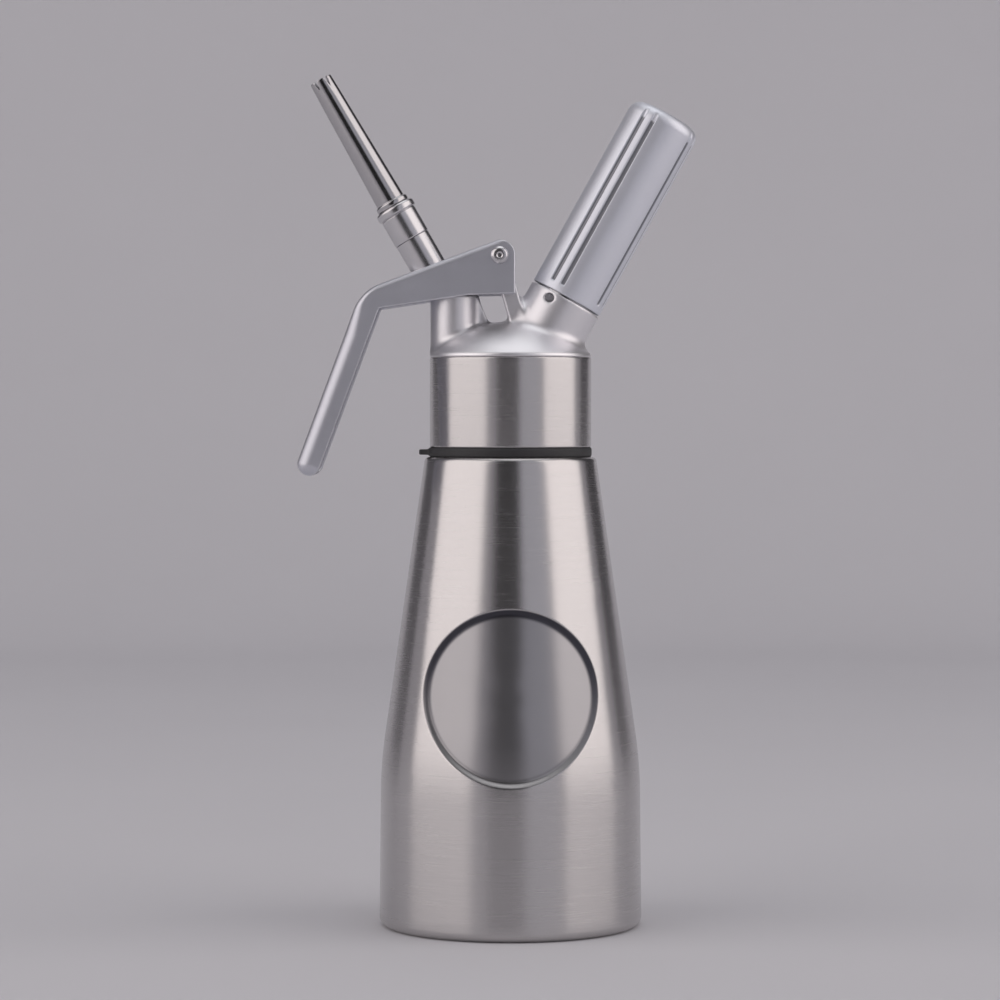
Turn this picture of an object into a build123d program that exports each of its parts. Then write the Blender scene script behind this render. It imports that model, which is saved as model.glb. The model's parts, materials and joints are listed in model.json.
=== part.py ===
from build123d import *
import math
import os

# A whipped cream dispenser: a steel bottle, a screwed head with a squeeze lever, a leaning
# outlet with a decorating tip, and a leaning holder with a gas charger in it.
# Millimetres. Z is up, the bottle's axis is Z, and the bottle stands on z = 0.
# The lever, outlet and charger holder lie in the plane y = 0, and -Y is the front.

# ---------------------------------------------------------------- fits
thread_clearance = 0.3
running_clearance = 0.06
seat_clearance = 0.05
stem_clearance = 0.3

# ---------------------------------------------------------------- bottle
foot_radius = 44.0
foot_fillet = 3.0
waist_radius = 43.4
waist_height = 54.5
waist_blend = 150.0
shoulder_radius = 28.6
shoulder_height = 157.0
shoulder_fillet = 1.8
bottle_wall = 1.0
base_wall = 1.4
base_groove_inner = 29.5
base_groove_outer = 34.5
base_groove_depth = 1.0
neck_radius = 21.0
neck_wall = 1.0
neck_height = 18.5
lip_fillet = 0.4
medallion_radius = 28.75
medallion_height = 79.0
medallion_depth = 1.2
neck_ring_wall = 1.75
neck_ring_short = 0.9

# ---------------------------------------------------------------- gasket
gasket_thickness = 3.2
gasket_radius = 27.2
tab_reach = 30.6
tab_width = 8.0
tab_thickness = 1.8

# ---------------------------------------------------------------- head
head_radius = 27.0
skirt_wall = 0.95
skirt_height = 30.0
skirt_chamfer = 0.5
socket_depth = 18.8
deck_rim = 1.0
dome_rise = 11.1

# ---------------------------------------------------------------- valve tower
tower_x = -18.8
tower_radius = 8.0
tower_height = 20.8
tower_bore_radius = 6.4
tower_bore_depth = 26.5
feed_radius = 2.8
feed_offset = 3.3
feed_overlap = 5.5
gusset_half_width = 3.0
gusset_top_reach = 1.0
gusset_top_drop = 1.0
gusset_foot_reach = 6.0
gusset_foot_rise = 5.8

# ---------------------------------------------------------------- lever post and pivot
pivot_x = -3.6
pivot_rise = 13.0
pin_radius = 2.0
ear_radius = 4.6
post_foot_reach = 8.2
post_foot_rise = 5.8
post_foot_half = 2.6
post_neck_half = 3.0
post_side_gap = 0.4
pin_head_radius = 3.0
pin_head_height = 1.4
clip_radius = 3.4
clip_thickness = 0.6
clip_groove_radius = 1.4
clip_opening = 2.2
pin_tail = 1.2

# ---------------------------------------------------------------- valve
valve_body_drop = 0.2
valve_body_length = 15.8
seat_land_inner = 4.2
seat_land_outer = 5.0
seat_land_height = 0.6
valve_chamber_length = 5.5
guide_length = 6.0
stem_radius = 3.0
stem_bore_radius = 1.8
stem_foot_radius = 5.0
stem_foot_height = 1.8
seal_radius = 5.3
seal_height = 2.2
stem_port_radius = 1.1
stem_port_rise = 3.6
stem_bore_start = 2.2
stem_engagement = 2.2
gland_ring_thickness = 1.48
gland_groove_depth = 1.54
gland_groove_width = 2.2
gland_groove_rise = 2.8
pocket_radius = 5.3
spring_wire = 0.9
spring_mean_radius = 4.1
spring_turns = 3.5
washer_radius = 4.9
washer_height = 0.8
flange_rise = 3.2
flange_height = 2.0
flange_radius = 8.3

# ---------------------------------------------------------------- outlet
outlet_lean = 30.0
outlet_reach = 10.0
outlet_rise = 6.6
elbow_neck_radius = 6.0
elbow_boss_radius = 5.6
elbow_boss_height = 4.2
elbow_boss_fillet = 1.5
elbow_link_rise = 1.0
elbow_link_radius = 1.6
elbow_end = 8.0
elbow_spigot_radius = 4.5
elbow_spigot_length = 5.5
outlet_bore_radius = 2.2
coupling_radius = 6.2
coupling_length = 9.6
coupling_ring_radius = 6.8
coupling_ring_length = 2.8
coupling_chamfer = 0.5
tip_spigot_radius = 3.6
tip_spigot_length = 6.6
tip_washer_thickness = 0.7
tip_bead_radius = 5.7
tip_bead_length = 1.8
tip_base_radius = 5.0
tip_end_radius = 3.9
tip_length = 48.8
tip_bore_base_radius = 3.1
tip_bore_end_radius = 2.8
star_points = 6
star_depth = 5.0
star_notch_width = 1.5

# ---------------------------------------------------------------- lever
lever_half_width = 10.0
lever_sheet = 1.3
arm_slope = 20.5
arm_length = 47.5
lug_radius = 5.2
cheek_drop = 12.8
cheek_mid_reach = 10.4
cheek_mid_drop = 13.2
cheek_low_reach = 20.4
cheek_low_drop = 14.7
handle_lean = 20.5
handle_length = 60.0
handle_depth = 8.0
bend_radius = 5.0
web_slot_half_width = 6.6
web_slot_round = 6.2
web_slot_left = 16.2
web_slot_right = 0.9
web_end_gap = 0.6
saddle_sheet = 1.5
saddle_right = 6.3
saddle_left = 5.2
saddle_slot_right = 1.3
saddle_lug_radius = 1.9
saddle_gap = 0.25

# ---------------------------------------------------------------- gas inlet
inlet_lean = 29.0
inlet_x = 13.1
inlet_rise = 9.8
boss_radius = 12.6
boss_root = -12.0
boss_top = 11.0
spanner_hole_radius = 1.5
spanner_hole_drop = 2.5
spanner_hole_offset = 5.0
spanner_hole_floor = 7.6
nipple_shank_radius = 7.0
nipple_shank_length = 12.0
nipple_radius = 10.0
nipple_length = 10.0
charger_neck_fit = 0.5
seal_seat_drop = 0.4
gas_bore_radius = 1.2
pin_base_radius = 2.4
pin_base_height = 2.6
needle_radius = 1.0
needle_length = 5.4
needle_point = 1.6
needle_bore_radius = 0.35
charger_seal_height = 1.6
charger_seal_bore = 1.3
inlet_chamber_radius = 3.9
inlet_chamber_depth = 8.5
inlet_seat_bore = 1.6
inlet_seal_height = 1.2
poppet_radius = 3.2
poppet_height = 1.0
poppet_stem_radius = 1.1
poppet_stem_length = 5.3
inlet_spring_wire = 0.5
inlet_spring_mean_radius = 2.2
inlet_spring_turns = 4.5
cage_height = 2.2
cage_hole_radius = 0.6
cage_hole_circle = 2.6
cage_holes = 4

# ---------------------------------------------------------------- charger and its holder
charger_radius = 9.0
charger_length = 66.0
charger_neck_radius = 4.3
charger_neck_length = 9.6
charger_shoulder_length = 6.5
charger_wall = 1.6
charger_hole_radius = 1.3
charger_fit = 0.3
holder_wall = 3.2
holder_mouth_gap = 0.5
holder_end_wall = 2.5
holder_end_fillet = 4.0
holder_thread_reach = 1.0
grip_groups = 4
grip_first_angle = -25.0
grip_groove_width = 1.4
grip_groove_depth = 0.6
grip_groove_spacing = 3.9
grip_start = 2.5

# ---------------------------------------------------------------- heights
# The bottle is measured from its base. Every piece of the head is measured from the bottle's
# shoulder, where the gasket lies, and on_bottle lifts it there.
on_bottle = Pos(0, 0, shoulder_height)
neck_top = shoulder_height + neck_height
neck_ring_radius = neck_radius + seat_clearance + neck_ring_wall

head_low = gasket_thickness
deck_low = head_low + skirt_height
ceiling = head_low + socket_depth
socket_radius = neck_ring_radius + thread_clearance
core_radius = head_radius - skirt_wall - seat_clearance
dome_radius = (head_radius**2 + dome_rise**2) / (2 * dome_rise)
dome_top = deck_low + deck_rim + dome_rise

tower_top = deck_low + tower_height
tower_bore_floor = tower_top - tower_bore_depth
valve_body_radius = tower_bore_radius - seat_clearance
valve_body_top = tower_top - valve_body_drop
valve_seat = valve_body_top - valve_body_length
guide_low = valve_seat + valve_chamber_length
guide_high = guide_low + guide_length
gland_groove_middle = guide_low + gland_groove_rise
flange_low = tower_top + flange_rise
flange_top = flange_low + flange_height
washer_low = flange_low - washer_height
stem_top = flange_low + stem_engagement
elbow_link_height = flange_top + elbow_link_rise

pivot_z = tower_top + pivot_rise
post_half_width = lever_half_width - lever_sheet - post_side_gap

# Along the outlet's axis.
coupling_start = elbow_end + seat_clearance
coupling_ring_start = coupling_start + coupling_length
coupling_end = coupling_ring_start + coupling_ring_length
tip_start = coupling_end + seat_clearance
tip_end = tip_start + tip_length
tip_washer_start = coupling_end + tip_spigot_length + seat_clearance
tip_socket_end = tip_washer_start + tip_washer_thickness + seat_clearance

# Along the inlet's axis.
nipple_end = boss_top + nipple_length
nipple_shank_end = boss_top - nipple_shank_length
charger_neck_bore = charger_neck_radius + charger_neck_fit
seal_seat = boss_top - seal_seat_drop
pin_base_start = seal_seat - pin_base_height
needle_end = seal_seat + needle_length
charger_start = seal_seat + charger_seal_height
charger_end = charger_start + charger_length
holder_radius = charger_radius + charger_fit + holder_wall
holder_mouth = boss_top + holder_mouth_gap
holder_thread_end = nipple_end + holder_thread_reach
holder_end = charger_end + charger_fit + holder_end_wall

# The frames of the two leaning axes: local Z runs out along the axis.
outlet_x = tower_x - outlet_reach
outlet_z = flange_top + outlet_rise
inlet_z = deck_low + inlet_rise
outlet_frame = Pos(outlet_x, 0, outlet_z) * Rot(0, -outlet_lean, 0)
inlet_frame = Pos(inlet_x, 0, inlet_z) * Rot(0, inlet_lean, 0)

# The inlet valve stands upright where the leaning gas bore ends.
inlet_valve_x = inlet_x + boss_root * math.sin(math.radians(inlet_lean))
inlet_meeting = inlet_z + boss_root * math.cos(math.radians(inlet_lean)) + gas_bore_radius
inlet_seat = ceiling + inlet_chamber_depth
cage_top = ceiling + cage_height
poppet_top = inlet_seat - inlet_seal_height
poppet_low = poppet_top - poppet_height


# ---------------------------------------------------------------- helpers
def rod(radius, low, high, x=0.0):
    """A vertical cylinder between two heights."""
    return Pos(x, 0, low) * Cylinder(radius, high - low, align=(Align.CENTER, Align.CENTER, Align.MIN))


def ring(outer, inner, low, high, x=0.0):
    """A vertical tube between two heights."""
    return rod(outer, low, high, x) - rod(inner, low, high, x)


def taper(low_radius, high_radius, low, high):
    """A vertical cone between two heights."""
    return Pos(0, 0, low) * Cone(
        low_radius, high_radius, high - low, align=(Align.CENTER, Align.CENTER, Align.MIN)
    )


def plate(points, half_width):
    """A polygon of x, z points made into a plate that is symmetric about y = 0."""
    face = make_face(Plane.XZ * Polyline(*points, close=True))
    return extrude(face, amount=half_width, both=True)


def cross_pin(radius, x, z, low_y, high_y):
    """A cylinder along Y between two depths."""
    middle = (low_y + high_y) / 2
    return Pos(x, middle, z) * Rot(90, 0, 0) * Cylinder(radius, high_y - low_y)


def coil(mean_radius, wire, turns, low, high, x=0.0):
    """A compression spring between two heights."""
    height = high - low - wire
    path = Helix(height / turns, height, mean_radius)
    section = Plane(origin=path @ 0, z_dir=path % 0) * Circle(wire / 2)
    return Pos(x, 0, low + wire / 2) * sweep(section, path=path, is_frenet=True)


def side_radius(height):
    """The bottle's outside radius on the cone above the waist."""
    share = (height - waist_height) / (shoulder_height - waist_height)
    return waist_radius + (shoulder_radius - waist_radius) * share


def bottle_form(inset, low, high, foot_round, top_round):
    """The bottle's solid of revolution with its side moved in by inset."""
    outline = FilletPolyline(
        (0, low),
        (foot_radius - inset, low),
        (waist_radius - inset, waist_height),
        (side_radius(high) - inset, high),
        (0, high),
        radius=[foot_round, waist_blend, top_round],
    )
    face = make_face(Plane.XZ * (outline + Line((0, high), (0, low))))
    return revolve(face, Axis.Z)


# ---------------------------------------------------------------- bottle
def make_bottle_shell():
    outer = bottle_form(0, 0, shoulder_height, foot_fillet, shoulder_fillet)
    cavity_top = shoulder_height - bottle_wall
    inner_foot = foot_fillet - bottle_wall
    inner_shoulder = shoulder_fillet - bottle_wall
    cavity = bottle_form(bottle_wall, base_wall, cavity_top, inner_foot, inner_shoulder)
    # The medallion is pressed in, so the wall keeps its thickness behind it.
    sunk = bottle_form(medallion_depth, 0, shoulder_height, foot_fillet, shoulder_fillet)
    behind = bottle_form(
        medallion_depth + bottle_wall, base_wall, cavity_top, inner_foot, inner_shoulder
    )
    press = cross_pin(medallion_radius, 0, medallion_height, -1.5 * foot_radius, 0)
    backing = cross_pin(medallion_radius + bottle_wall, 0, medallion_height, -1.5 * foot_radius, 0)
    shell = outer - (cavity - (backing & (cavity - behind)))
    shell = shell - (press & (outer - sunk))
    shell = shell - ring(base_groove_outer, base_groove_inner, 0, base_groove_depth)
    shell = shell + ring(
        base_groove_outer + bottle_wall,
        base_groove_inner - bottle_wall,
        base_wall,
        base_wall + base_groove_depth,
    )
    neck = rod(neck_radius, cavity_top, neck_top)
    neck = fillet(neck.edges().group_by(Axis.Z)[-1], lip_fillet)
    bore = rod(neck_radius - neck_wall, cavity_top - bottle_wall, neck_top)
    return shell + neck - bore


def make_neck_ring():
    low = shoulder_height + seat_clearance
    high = neck_top - neck_ring_short
    return ring(neck_ring_radius, neck_radius + seat_clearance, low, high)


def make_head_gasket():
    middle = gasket_thickness / 2
    tab_centre = tab_width / 2 - tab_reach
    tab = Pos(tab_centre, 0, middle) * Cylinder(tab_width / 2, tab_thickness)
    root = Pos(tab_centre, 0, middle) * Box(
        tab_width, tab_width, tab_thickness, align=(Align.MIN, Align.CENTER, Align.CENTER)
    )
    bore = rod(socket_radius + seat_clearance, 0, head_low)
    return rod(gasket_radius, 0, head_low) + tab + root - bore


# ---------------------------------------------------------------- head
def make_head_skirt():
    skirt = ring(head_radius, head_radius - skirt_wall, head_low, deck_low)
    rims = [e for e in skirt.edges().filter_by(GeomType.CIRCLE) if e.radius > head_radius - 0.01]
    return chamfer(rims, skirt_chamfer)


def make_post():
    """The leaning post that carries the pivot between the lever's cheeks."""
    post = plate(
        [
            (pivot_x + post_foot_reach - post_foot_half, deck_low + post_foot_rise),
            (pivot_x + post_foot_reach + post_foot_half, deck_low + post_foot_rise),
            (pivot_x + post_neck_half, pivot_z),
            (pivot_x - post_neck_half, pivot_z),
        ],
        post_half_width,
    )
    return post + cross_pin(ear_radius, pivot_x, pivot_z, -post_half_width, post_half_width)


def make_head_casting():
    core = rod(core_radius, head_low, deck_low)
    rim = rod(head_radius, deck_low, dome_top)
    ball = Pos(0, 0, dome_top - dome_radius) * Sphere(dome_radius)
    tower = rod(tower_radius, deck_low, tower_top, tower_x)
    tower_right = tower_x + tower_radius
    gusset = plate(
        [
            (tower_right - gusset_top_reach, tower_top - gusset_top_drop),
            (tower_right, tower_top - gusset_top_drop),
            (tower_right + gusset_foot_reach, deck_low + gusset_foot_rise),
            (tower_right - gusset_top_reach, deck_low + gusset_foot_rise),
        ],
        gusset_half_width,
    )
    boss = inlet_frame * rod(boss_radius, boss_root, boss_top)
    # A quarter turn keeps the dome's seam clear of the boss and the tower.
    deck = Rot(0, 0, 90) * (core + (rim & ball))
    casting = deck + tower + gusset + make_post() + boss

    casting -= rod(socket_radius, head_low, ceiling)
    casting -= rod(tower_bore_radius, tower_bore_floor, tower_top, tower_x)
    casting -= rod(feed_radius, head_low, tower_bore_floor + feed_overlap, tower_x + feed_offset)
    casting -= cross_pin(pin_radius, pivot_x, pivot_z, -post_half_width, post_half_width)
    casting -= inlet_frame * rod(nipple_shank_radius + seat_clearance, nipple_shank_end, boss_top)
    casting -= inlet_frame * rod(gas_bore_radius, boss_root, nipple_shank_end)
    spanner_hole_station = boss_top - spanner_hole_drop
    casting -= inlet_frame * cross_pin(
        spanner_hole_radius, -spanner_hole_offset, spanner_hole_station, -2 * boss_radius, -spanner_hole_floor
    )
    casting -= rod(inlet_chamber_radius, head_low, inlet_seat, inlet_valve_x)
    casting -= rod(inlet_seat_bore, inlet_seat, inlet_meeting, inlet_valve_x)
    return casting


def make_pivot_pin():
    shaft_end = lever_half_width + 2 * running_clearance + clip_thickness + pin_tail
    shaft = cross_pin(pin_radius - seat_clearance / 2, pivot_x, pivot_z, -lever_half_width, shaft_end)
    head_face = -lever_half_width - running_clearance
    head = cross_pin(pin_head_radius, pivot_x, pivot_z, head_face - pin_head_height, head_face)
    head = fillet(head.edges().group_by(Axis.Y)[0], 0.8 * pin_head_height)
    neck = cross_pin(pin_radius - seat_clearance / 2, pivot_x, pivot_z, head_face, -lever_half_width)
    groove_start = lever_half_width + running_clearance
    groove_end = groove_start + clip_thickness + running_clearance
    groove = cross_pin(2 * pin_radius, pivot_x, pivot_z, groove_start, groove_end)
    groove -= cross_pin(clip_groove_radius, pivot_x, pivot_z, groove_start, groove_end)
    return shaft + neck + head - groove


def make_pivot_clip():
    low = lever_half_width + 1.5 * running_clearance
    high = low + clip_thickness
    clip = cross_pin(clip_radius, pivot_x, pivot_z, low, high)
    clip -= cross_pin(clip_groove_radius + seat_clearance, pivot_x, pivot_z, low, high)
    mouth = Pos(pivot_x, low, pivot_z) * Box(
        clip_opening, 2 * clip_thickness, 2 * clip_radius, align=(Align.CENTER, Align.MIN, Align.MAX)
    )
    return clip - mouth


# ---------------------------------------------------------------- outlet valve
def make_valve_body():
    body = rod(valve_body_radius, valve_seat + seat_land_height, valve_body_top)
    body += rod(seat_land_outer, valve_seat, valve_seat + seat_land_height)
    body -= rod(seat_land_inner, valve_seat, guide_low)
    body -= rod(stem_radius + running_clearance, guide_low, guide_high)
    groove_low = gland_groove_middle - gland_groove_width / 2
    groove_high = gland_groove_middle + gland_groove_width / 2
    body -= rod(stem_radius + running_clearance + gland_groove_depth, groove_low, groove_high)
    body -= rod(pocket_radius, guide_high, valve_body_top)
    return Pos(tower_x, 0, 0) * body


def make_gland_ring():
    half = gland_ring_thickness / 2
    ring_radius = stem_radius + running_clearance / 2 + seat_clearance + half
    return Pos(tower_x, 0, gland_groove_middle) * Torus(ring_radius, half)


def make_valve_stem():
    foot_low = valve_seat - seal_height - stem_foot_height
    foot_high = valve_seat - seal_height
    stem = rod(stem_foot_radius, foot_low, foot_high) + rod(stem_radius, foot_high, stem_top)
    stem -= rod(stem_bore_radius, valve_seat + stem_bore_start, stem_top)
    port_height = valve_seat + stem_port_rise
    port = cross_pin(stem_port_radius, 0, port_height, -2 * stem_radius, 2 * stem_radius)
    stem -= port
    stem -= Rot(0, 0, 90) * port
    return Pos(tower_x, 0, 0) * stem


def make_valve_seal():
    return ring(seal_radius, stem_radius + seat_clearance, valve_seat - seal_height, valve_seat, tower_x)


def make_valve_spring():
    return coil(spring_mean_radius, spring_wire, spring_turns, guide_high, washer_low, tower_x)


def make_spring_washer():
    return ring(washer_radius, stem_radius + seat_clearance, washer_low, flange_low, tower_x)


# ---------------------------------------------------------------- outlet
def make_outlet_elbow():
    flange = rod(flange_radius, flange_low, flange_top, tower_x)
    boss = rod(elbow_boss_radius, flange_low, flange_top + elbow_boss_height, tower_x)
    boss = fillet(boss.edges().group_by(Axis.Z)[-1], elbow_boss_fillet)
    root = -2 * elbow_neck_radius
    neck = outlet_frame * rod(elbow_neck_radius, root, elbow_end)
    reach = abs(outlet_x) + 4 * elbow_neck_radius
    above = Pos(0, 0, flange_low) * Box(
        2 * reach, 2 * reach, 4 * reach, align=(Align.CENTER, Align.CENTER, Align.MIN)
    )
    spigot = outlet_frame * rod(elbow_spigot_radius, elbow_end, elbow_end + elbow_spigot_length)
    elbow = flange + boss + (neck & above) + spigot

    climb = (outlet_z - elbow_link_height) / math.cos(math.radians(outlet_lean))
    link_x = outlet_x + climb * math.sin(math.radians(outlet_lean))
    link = Pos((link_x + tower_x) / 2, 0, elbow_link_height) * Rot(0, 90, 0)
    elbow -= rod(stem_radius + seat_clearance, flange_low, elbow_link_height + elbow_link_radius / 2, tower_x)
    elbow -= link * Cylinder(elbow_link_radius, tower_x - link_x)
    elbow -= outlet_frame * rod(outlet_bore_radius, -climb, elbow_end + elbow_spigot_length)
    return elbow


def make_nozzle_coupling():
    body = rod(coupling_radius, coupling_start, coupling_ring_start)
    body = chamfer(body.edges().group_by(Axis.Z)[0], coupling_chamfer)
    band = rod(coupling_ring_radius, coupling_ring_start, coupling_end)
    band = chamfer(band.edges().filter_by(GeomType.CIRCLE), coupling_chamfer)
    body += band
    body += rod(tip_spigot_radius, coupling_end, coupling_end + tip_spigot_length)
    socket_end = elbow_end + elbow_spigot_length + seat_clearance
    body -= rod(elbow_spigot_radius + seat_clearance, coupling_start, socket_end)
    body -= rod(outlet_bore_radius, socket_end, coupling_end + tip_spigot_length)
    return outlet_frame * body


def make_tip_washer():
    end = tip_washer_start + tip_washer_thickness
    return outlet_frame * ring(tip_spigot_radius, outlet_bore_radius, tip_washer_start, end)


def make_decorating_tip():
    bead_end = tip_start + tip_bead_length
    tip = rod(tip_bead_radius, tip_start, bead_end)
    tip = chamfer(tip.edges().filter_by(GeomType.CIRCLE), coupling_chamfer)
    tip += taper(tip_base_radius, tip_end_radius, bead_end, tip_end)
    tip -= rod(tip_spigot_radius + thread_clearance, tip_start, tip_socket_end)
    tip -= taper(tip_bore_base_radius, tip_bore_end_radius, tip_socket_end, tip_end)
    notch = Pos(0, 0, tip_end) * Rot(0, 45, 0) * Box(
        star_depth, 3 * tip_end_radius, star_depth
    )
    notch = scale(notch, by=(star_notch_width / star_depth, 1, 1))
    notch = notch & Pos(0, 0, tip_end) * Box(
        star_depth, 2 * tip_end_radius, 3 * star_depth, align=(Align.CENTER, Align.MIN, Align.CENTER)
    )
    for index in range(star_points):
        tip -= Rot(0, 0, index * 360 / star_points) * notch
    return outlet_frame * tip


# ---------------------------------------------------------------- lever
def along(start, angle, distance):
    """The point at a distance from start, at an angle above +X in the XZ plane."""
    turn = math.radians(angle)
    return (start[0] + distance * math.cos(turn), start[1] + distance * math.sin(turn))


pivot = (pivot_x, pivot_z)
arm_foot = along(pivot, 90 + arm_slope, lug_radius)
bend = along(arm_foot, 180 + arm_slope, arm_length)
handle_down = 270 - handle_lean
handle_in = handle_down + 90
tip_outer = along(bend, handle_down, handle_length)


def line_crossing(a, a_angle, b, b_angle):
    """Where two lines meet, each given by a point and an angle."""
    ax, az = math.cos(math.radians(a_angle)), math.sin(math.radians(a_angle))
    bx, bz = math.cos(math.radians(b_angle)), math.sin(math.radians(b_angle))
    reach = ((b[0] - a[0]) * bz - (b[1] - a[1]) * bx) / (ax * bz - az * bx)
    return (a[0] + reach * ax, a[1] + reach * az)


def lever_outline():
    """The side view of the whole lever, cheeks and handle."""
    inner_edge = along(bend, handle_in, handle_depth)
    low_edge = (pivot_x - cheek_low_reach, pivot_z - cheek_low_drop)
    mid_edge = (pivot_x - cheek_mid_reach, pivot_z - cheek_mid_drop)
    low_angle = 180 + math.degrees(math.atan2(mid_edge[1] - low_edge[1], mid_edge[0] - low_edge[0]))
    inner_bend = line_crossing(low_edge, low_angle, inner_edge, handle_down)
    tip_inner = along(tip_outer, handle_in, handle_depth)
    right = pivot_x + lug_radius
    profile = make_face(
        Plane.XZ
        * Polyline(
            arm_foot,
            bend,
            tip_outer,
            tip_inner,
            inner_bend,
            low_edge,
            mid_edge,
            (right, pivot_z - cheek_drop),
            (right, pivot_z),
            pivot,
            close=True,
        )
    )
    lug = Plane.XZ * Pos(pivot_x, pivot_z) * Circle(lug_radius)
    centre = along(tip_outer, handle_in, handle_depth / 2)
    end = Plane.XZ * Pos(*centre) * Circle(handle_depth / 2)
    return profile + lug + end


def make_lever():
    body = extrude(lever_outline(), amount=lever_half_width, both=True)
    bend_edge = body.edges().filter_by(Axis.Y).sort_by_distance((bend[0], 0, bend[1]))[0]
    body = fillet(bend_edge, bend_radius)

    # The channel is open below the arm and inside the handle; a web is left on the outside.
    web_foot = along(arm_foot, 270 + arm_slope, lever_sheet)
    web_bend = line_crossing(
        web_foot, 180 + arm_slope, along(bend, handle_in, lever_sheet), handle_down
    )
    web_tip = along(along(bend, handle_in, lever_sheet), handle_down, handle_length)
    inner_tip = along(web_tip, handle_in, 3 * handle_depth)
    channel = plate(
        [
            web_foot,
            web_bend,
            web_tip,
            inner_tip,
            (bend[0] + arm_length / 2, bend[1] - handle_length),
            (pivot_x + 3 * lug_radius, bend[1] - handle_length),
            (pivot_x + 3 * lug_radius, web_foot[1]),
        ],
        lever_half_width - lever_sheet,
    )
    channel_bend = channel.edges().filter_by(Axis.Y).sort_by_distance((web_bend[0], 0, web_bend[1]))[0]
    channel = fillet(channel_bend, bend_radius - lever_sheet)
    body -= channel

    # The web stops short of the post's ear.
    web_height = lug_radius - lever_sheet
    clear = ear_radius + web_end_gap
    web_stop = math.sqrt(clear**2 - web_height**2)
    stop = along(arm_foot, 180 + arm_slope, web_stop)
    window = plate(
        [
            along(stop, 90 + arm_slope, lever_sheet),
            along(stop, 270 + arm_slope, 2 * lever_sheet),
            (pivot_x + 2 * lug_radius, pivot_z),
            (pivot_x + 2 * lug_radius, pivot_z + 2 * lug_radius),
            (stop[0], pivot_z + 2 * lug_radius),
        ],
        lever_half_width - lever_sheet,
    )
    body -= window

    # The slot in the web lets the outlet through.
    slot = Pos(tower_x - web_slot_right, 0, pivot_z - cheek_mid_drop) * Box(
        web_slot_left - web_slot_right,
        2 * web_slot_half_width,
        4 * lug_radius,
        align=(Align.MAX, Align.CENTER, Align.MIN),
    )
    slot = fillet(slot.edges().filter_by(Axis.Z), web_slot_round)
    body -= slot

    hole = cross_pin(
        pin_radius + running_clearance, pivot_x, pivot_z, -2 * lever_half_width, 2 * lever_half_width
    )
    return body - hole


def web_underside(x):
    """The height of the web's underside above a place on the arm."""
    foot = along(arm_foot, 270 + arm_slope, lever_sheet)
    return foot[1] + (x - foot[0]) * math.tan(math.radians(arm_slope))


def make_lever_saddle():
    drop = saddle_sheet / math.cos(math.radians(arm_slope))
    half_width = lever_half_width - lever_sheet - seat_clearance
    left, right = tower_x - saddle_left, tower_x + saddle_right
    fork = plate(
        [
            (left, web_underside(left)),
            (right, web_underside(right)),
            (right, web_underside(right) - drop),
            (left, web_underside(left) - drop),
        ],
        half_width,
    )
    fork -= Pos(tower_x + saddle_slot_right, 0, web_underside(left)) * Box(
        saddle_slot_right + 2 * saddle_left,
        2 * web_slot_half_width,
        6 * saddle_lug_radius,
        align=(Align.MAX, Align.CENTER, Align.CENTER),
    )
    centre_z = flange_top + saddle_gap + saddle_lug_radius
    lug = plate(
        [
            (tower_x - saddle_lug_radius, centre_z),
            (tower_x + saddle_lug_radius, centre_z),
            (tower_x + saddle_lug_radius, web_underside(tower_x + saddle_lug_radius) - drop / 2),
            (tower_x - saddle_lug_radius, web_underside(tower_x - saddle_lug_radius) - drop / 2),
        ],
        half_width,
    )
    lug += cross_pin(saddle_lug_radius, tower_x, centre_z, -half_width, half_width)
    inside = Pos(tower_x, 0, centre_z) * Box(
        4 * saddle_lug_radius, 2 * web_slot_half_width, 6 * saddle_lug_radius
    )
    return fork + (lug - inside)


# ---------------------------------------------------------------- gas inlet
def make_inlet_nipple():
    nipple = rod(nipple_shank_radius, nipple_shank_end, boss_top)
    nipple += rod(nipple_radius, boss_top, nipple_end)
    nipple -= rod(charger_neck_bore, seal_seat, nipple_end)
    nipple -= rod(pin_base_radius + seat_clearance, pin_base_start, seal_seat)
    nipple -= rod(gas_bore_radius, nipple_shank_end, pin_base_start)
    mouth = nipple.edges().filter_by(GeomType.CIRCLE).group_by(Axis.Z)[-1]
    return inlet_frame * chamfer(mouth, coupling_chamfer)


def make_piercing_pin():
    pin = rod(pin_base_radius, pin_base_start, seal_seat)
    pin += rod(needle_radius, seal_seat, needle_end - needle_point)
    pin += taper(needle_radius, 1.2 * needle_bore_radius, needle_end - needle_point, needle_end)
    pin -= rod(needle_bore_radius, pin_base_start, needle_end)
    return inlet_frame * pin


def make_charger_seal():
    outer = charger_neck_bore - seat_clearance
    return inlet_frame * ring(outer, charger_seal_bore, seal_seat, seal_seat + charger_seal_height)


def make_inlet_seal():
    return rod(poppet_radius, poppet_top, inlet_seat, inlet_valve_x)


def make_inlet_valve():
    disc = rod(poppet_radius, poppet_low, poppet_top, inlet_valve_x)
    return disc + rod(poppet_stem_radius, poppet_low - poppet_stem_length, poppet_low, inlet_valve_x)


def make_inlet_spring():
    return coil(
        inlet_spring_mean_radius, inlet_spring_wire, inlet_spring_turns, cage_top, poppet_low, inlet_valve_x
    )


def make_inlet_cage():
    cage = ring(inlet_chamber_radius - seat_clearance, poppet_stem_radius + 2 * running_clearance, ceiling, cage_top)
    for index in range(cage_holes):
        hole = rod(cage_hole_radius, ceiling, cage_top, cage_hole_circle)
        cage -= Rot(0, 0, (index + 0.5) * 360 / cage_holes) * hole
    return Pos(inlet_valve_x, 0, 0) * cage


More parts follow.
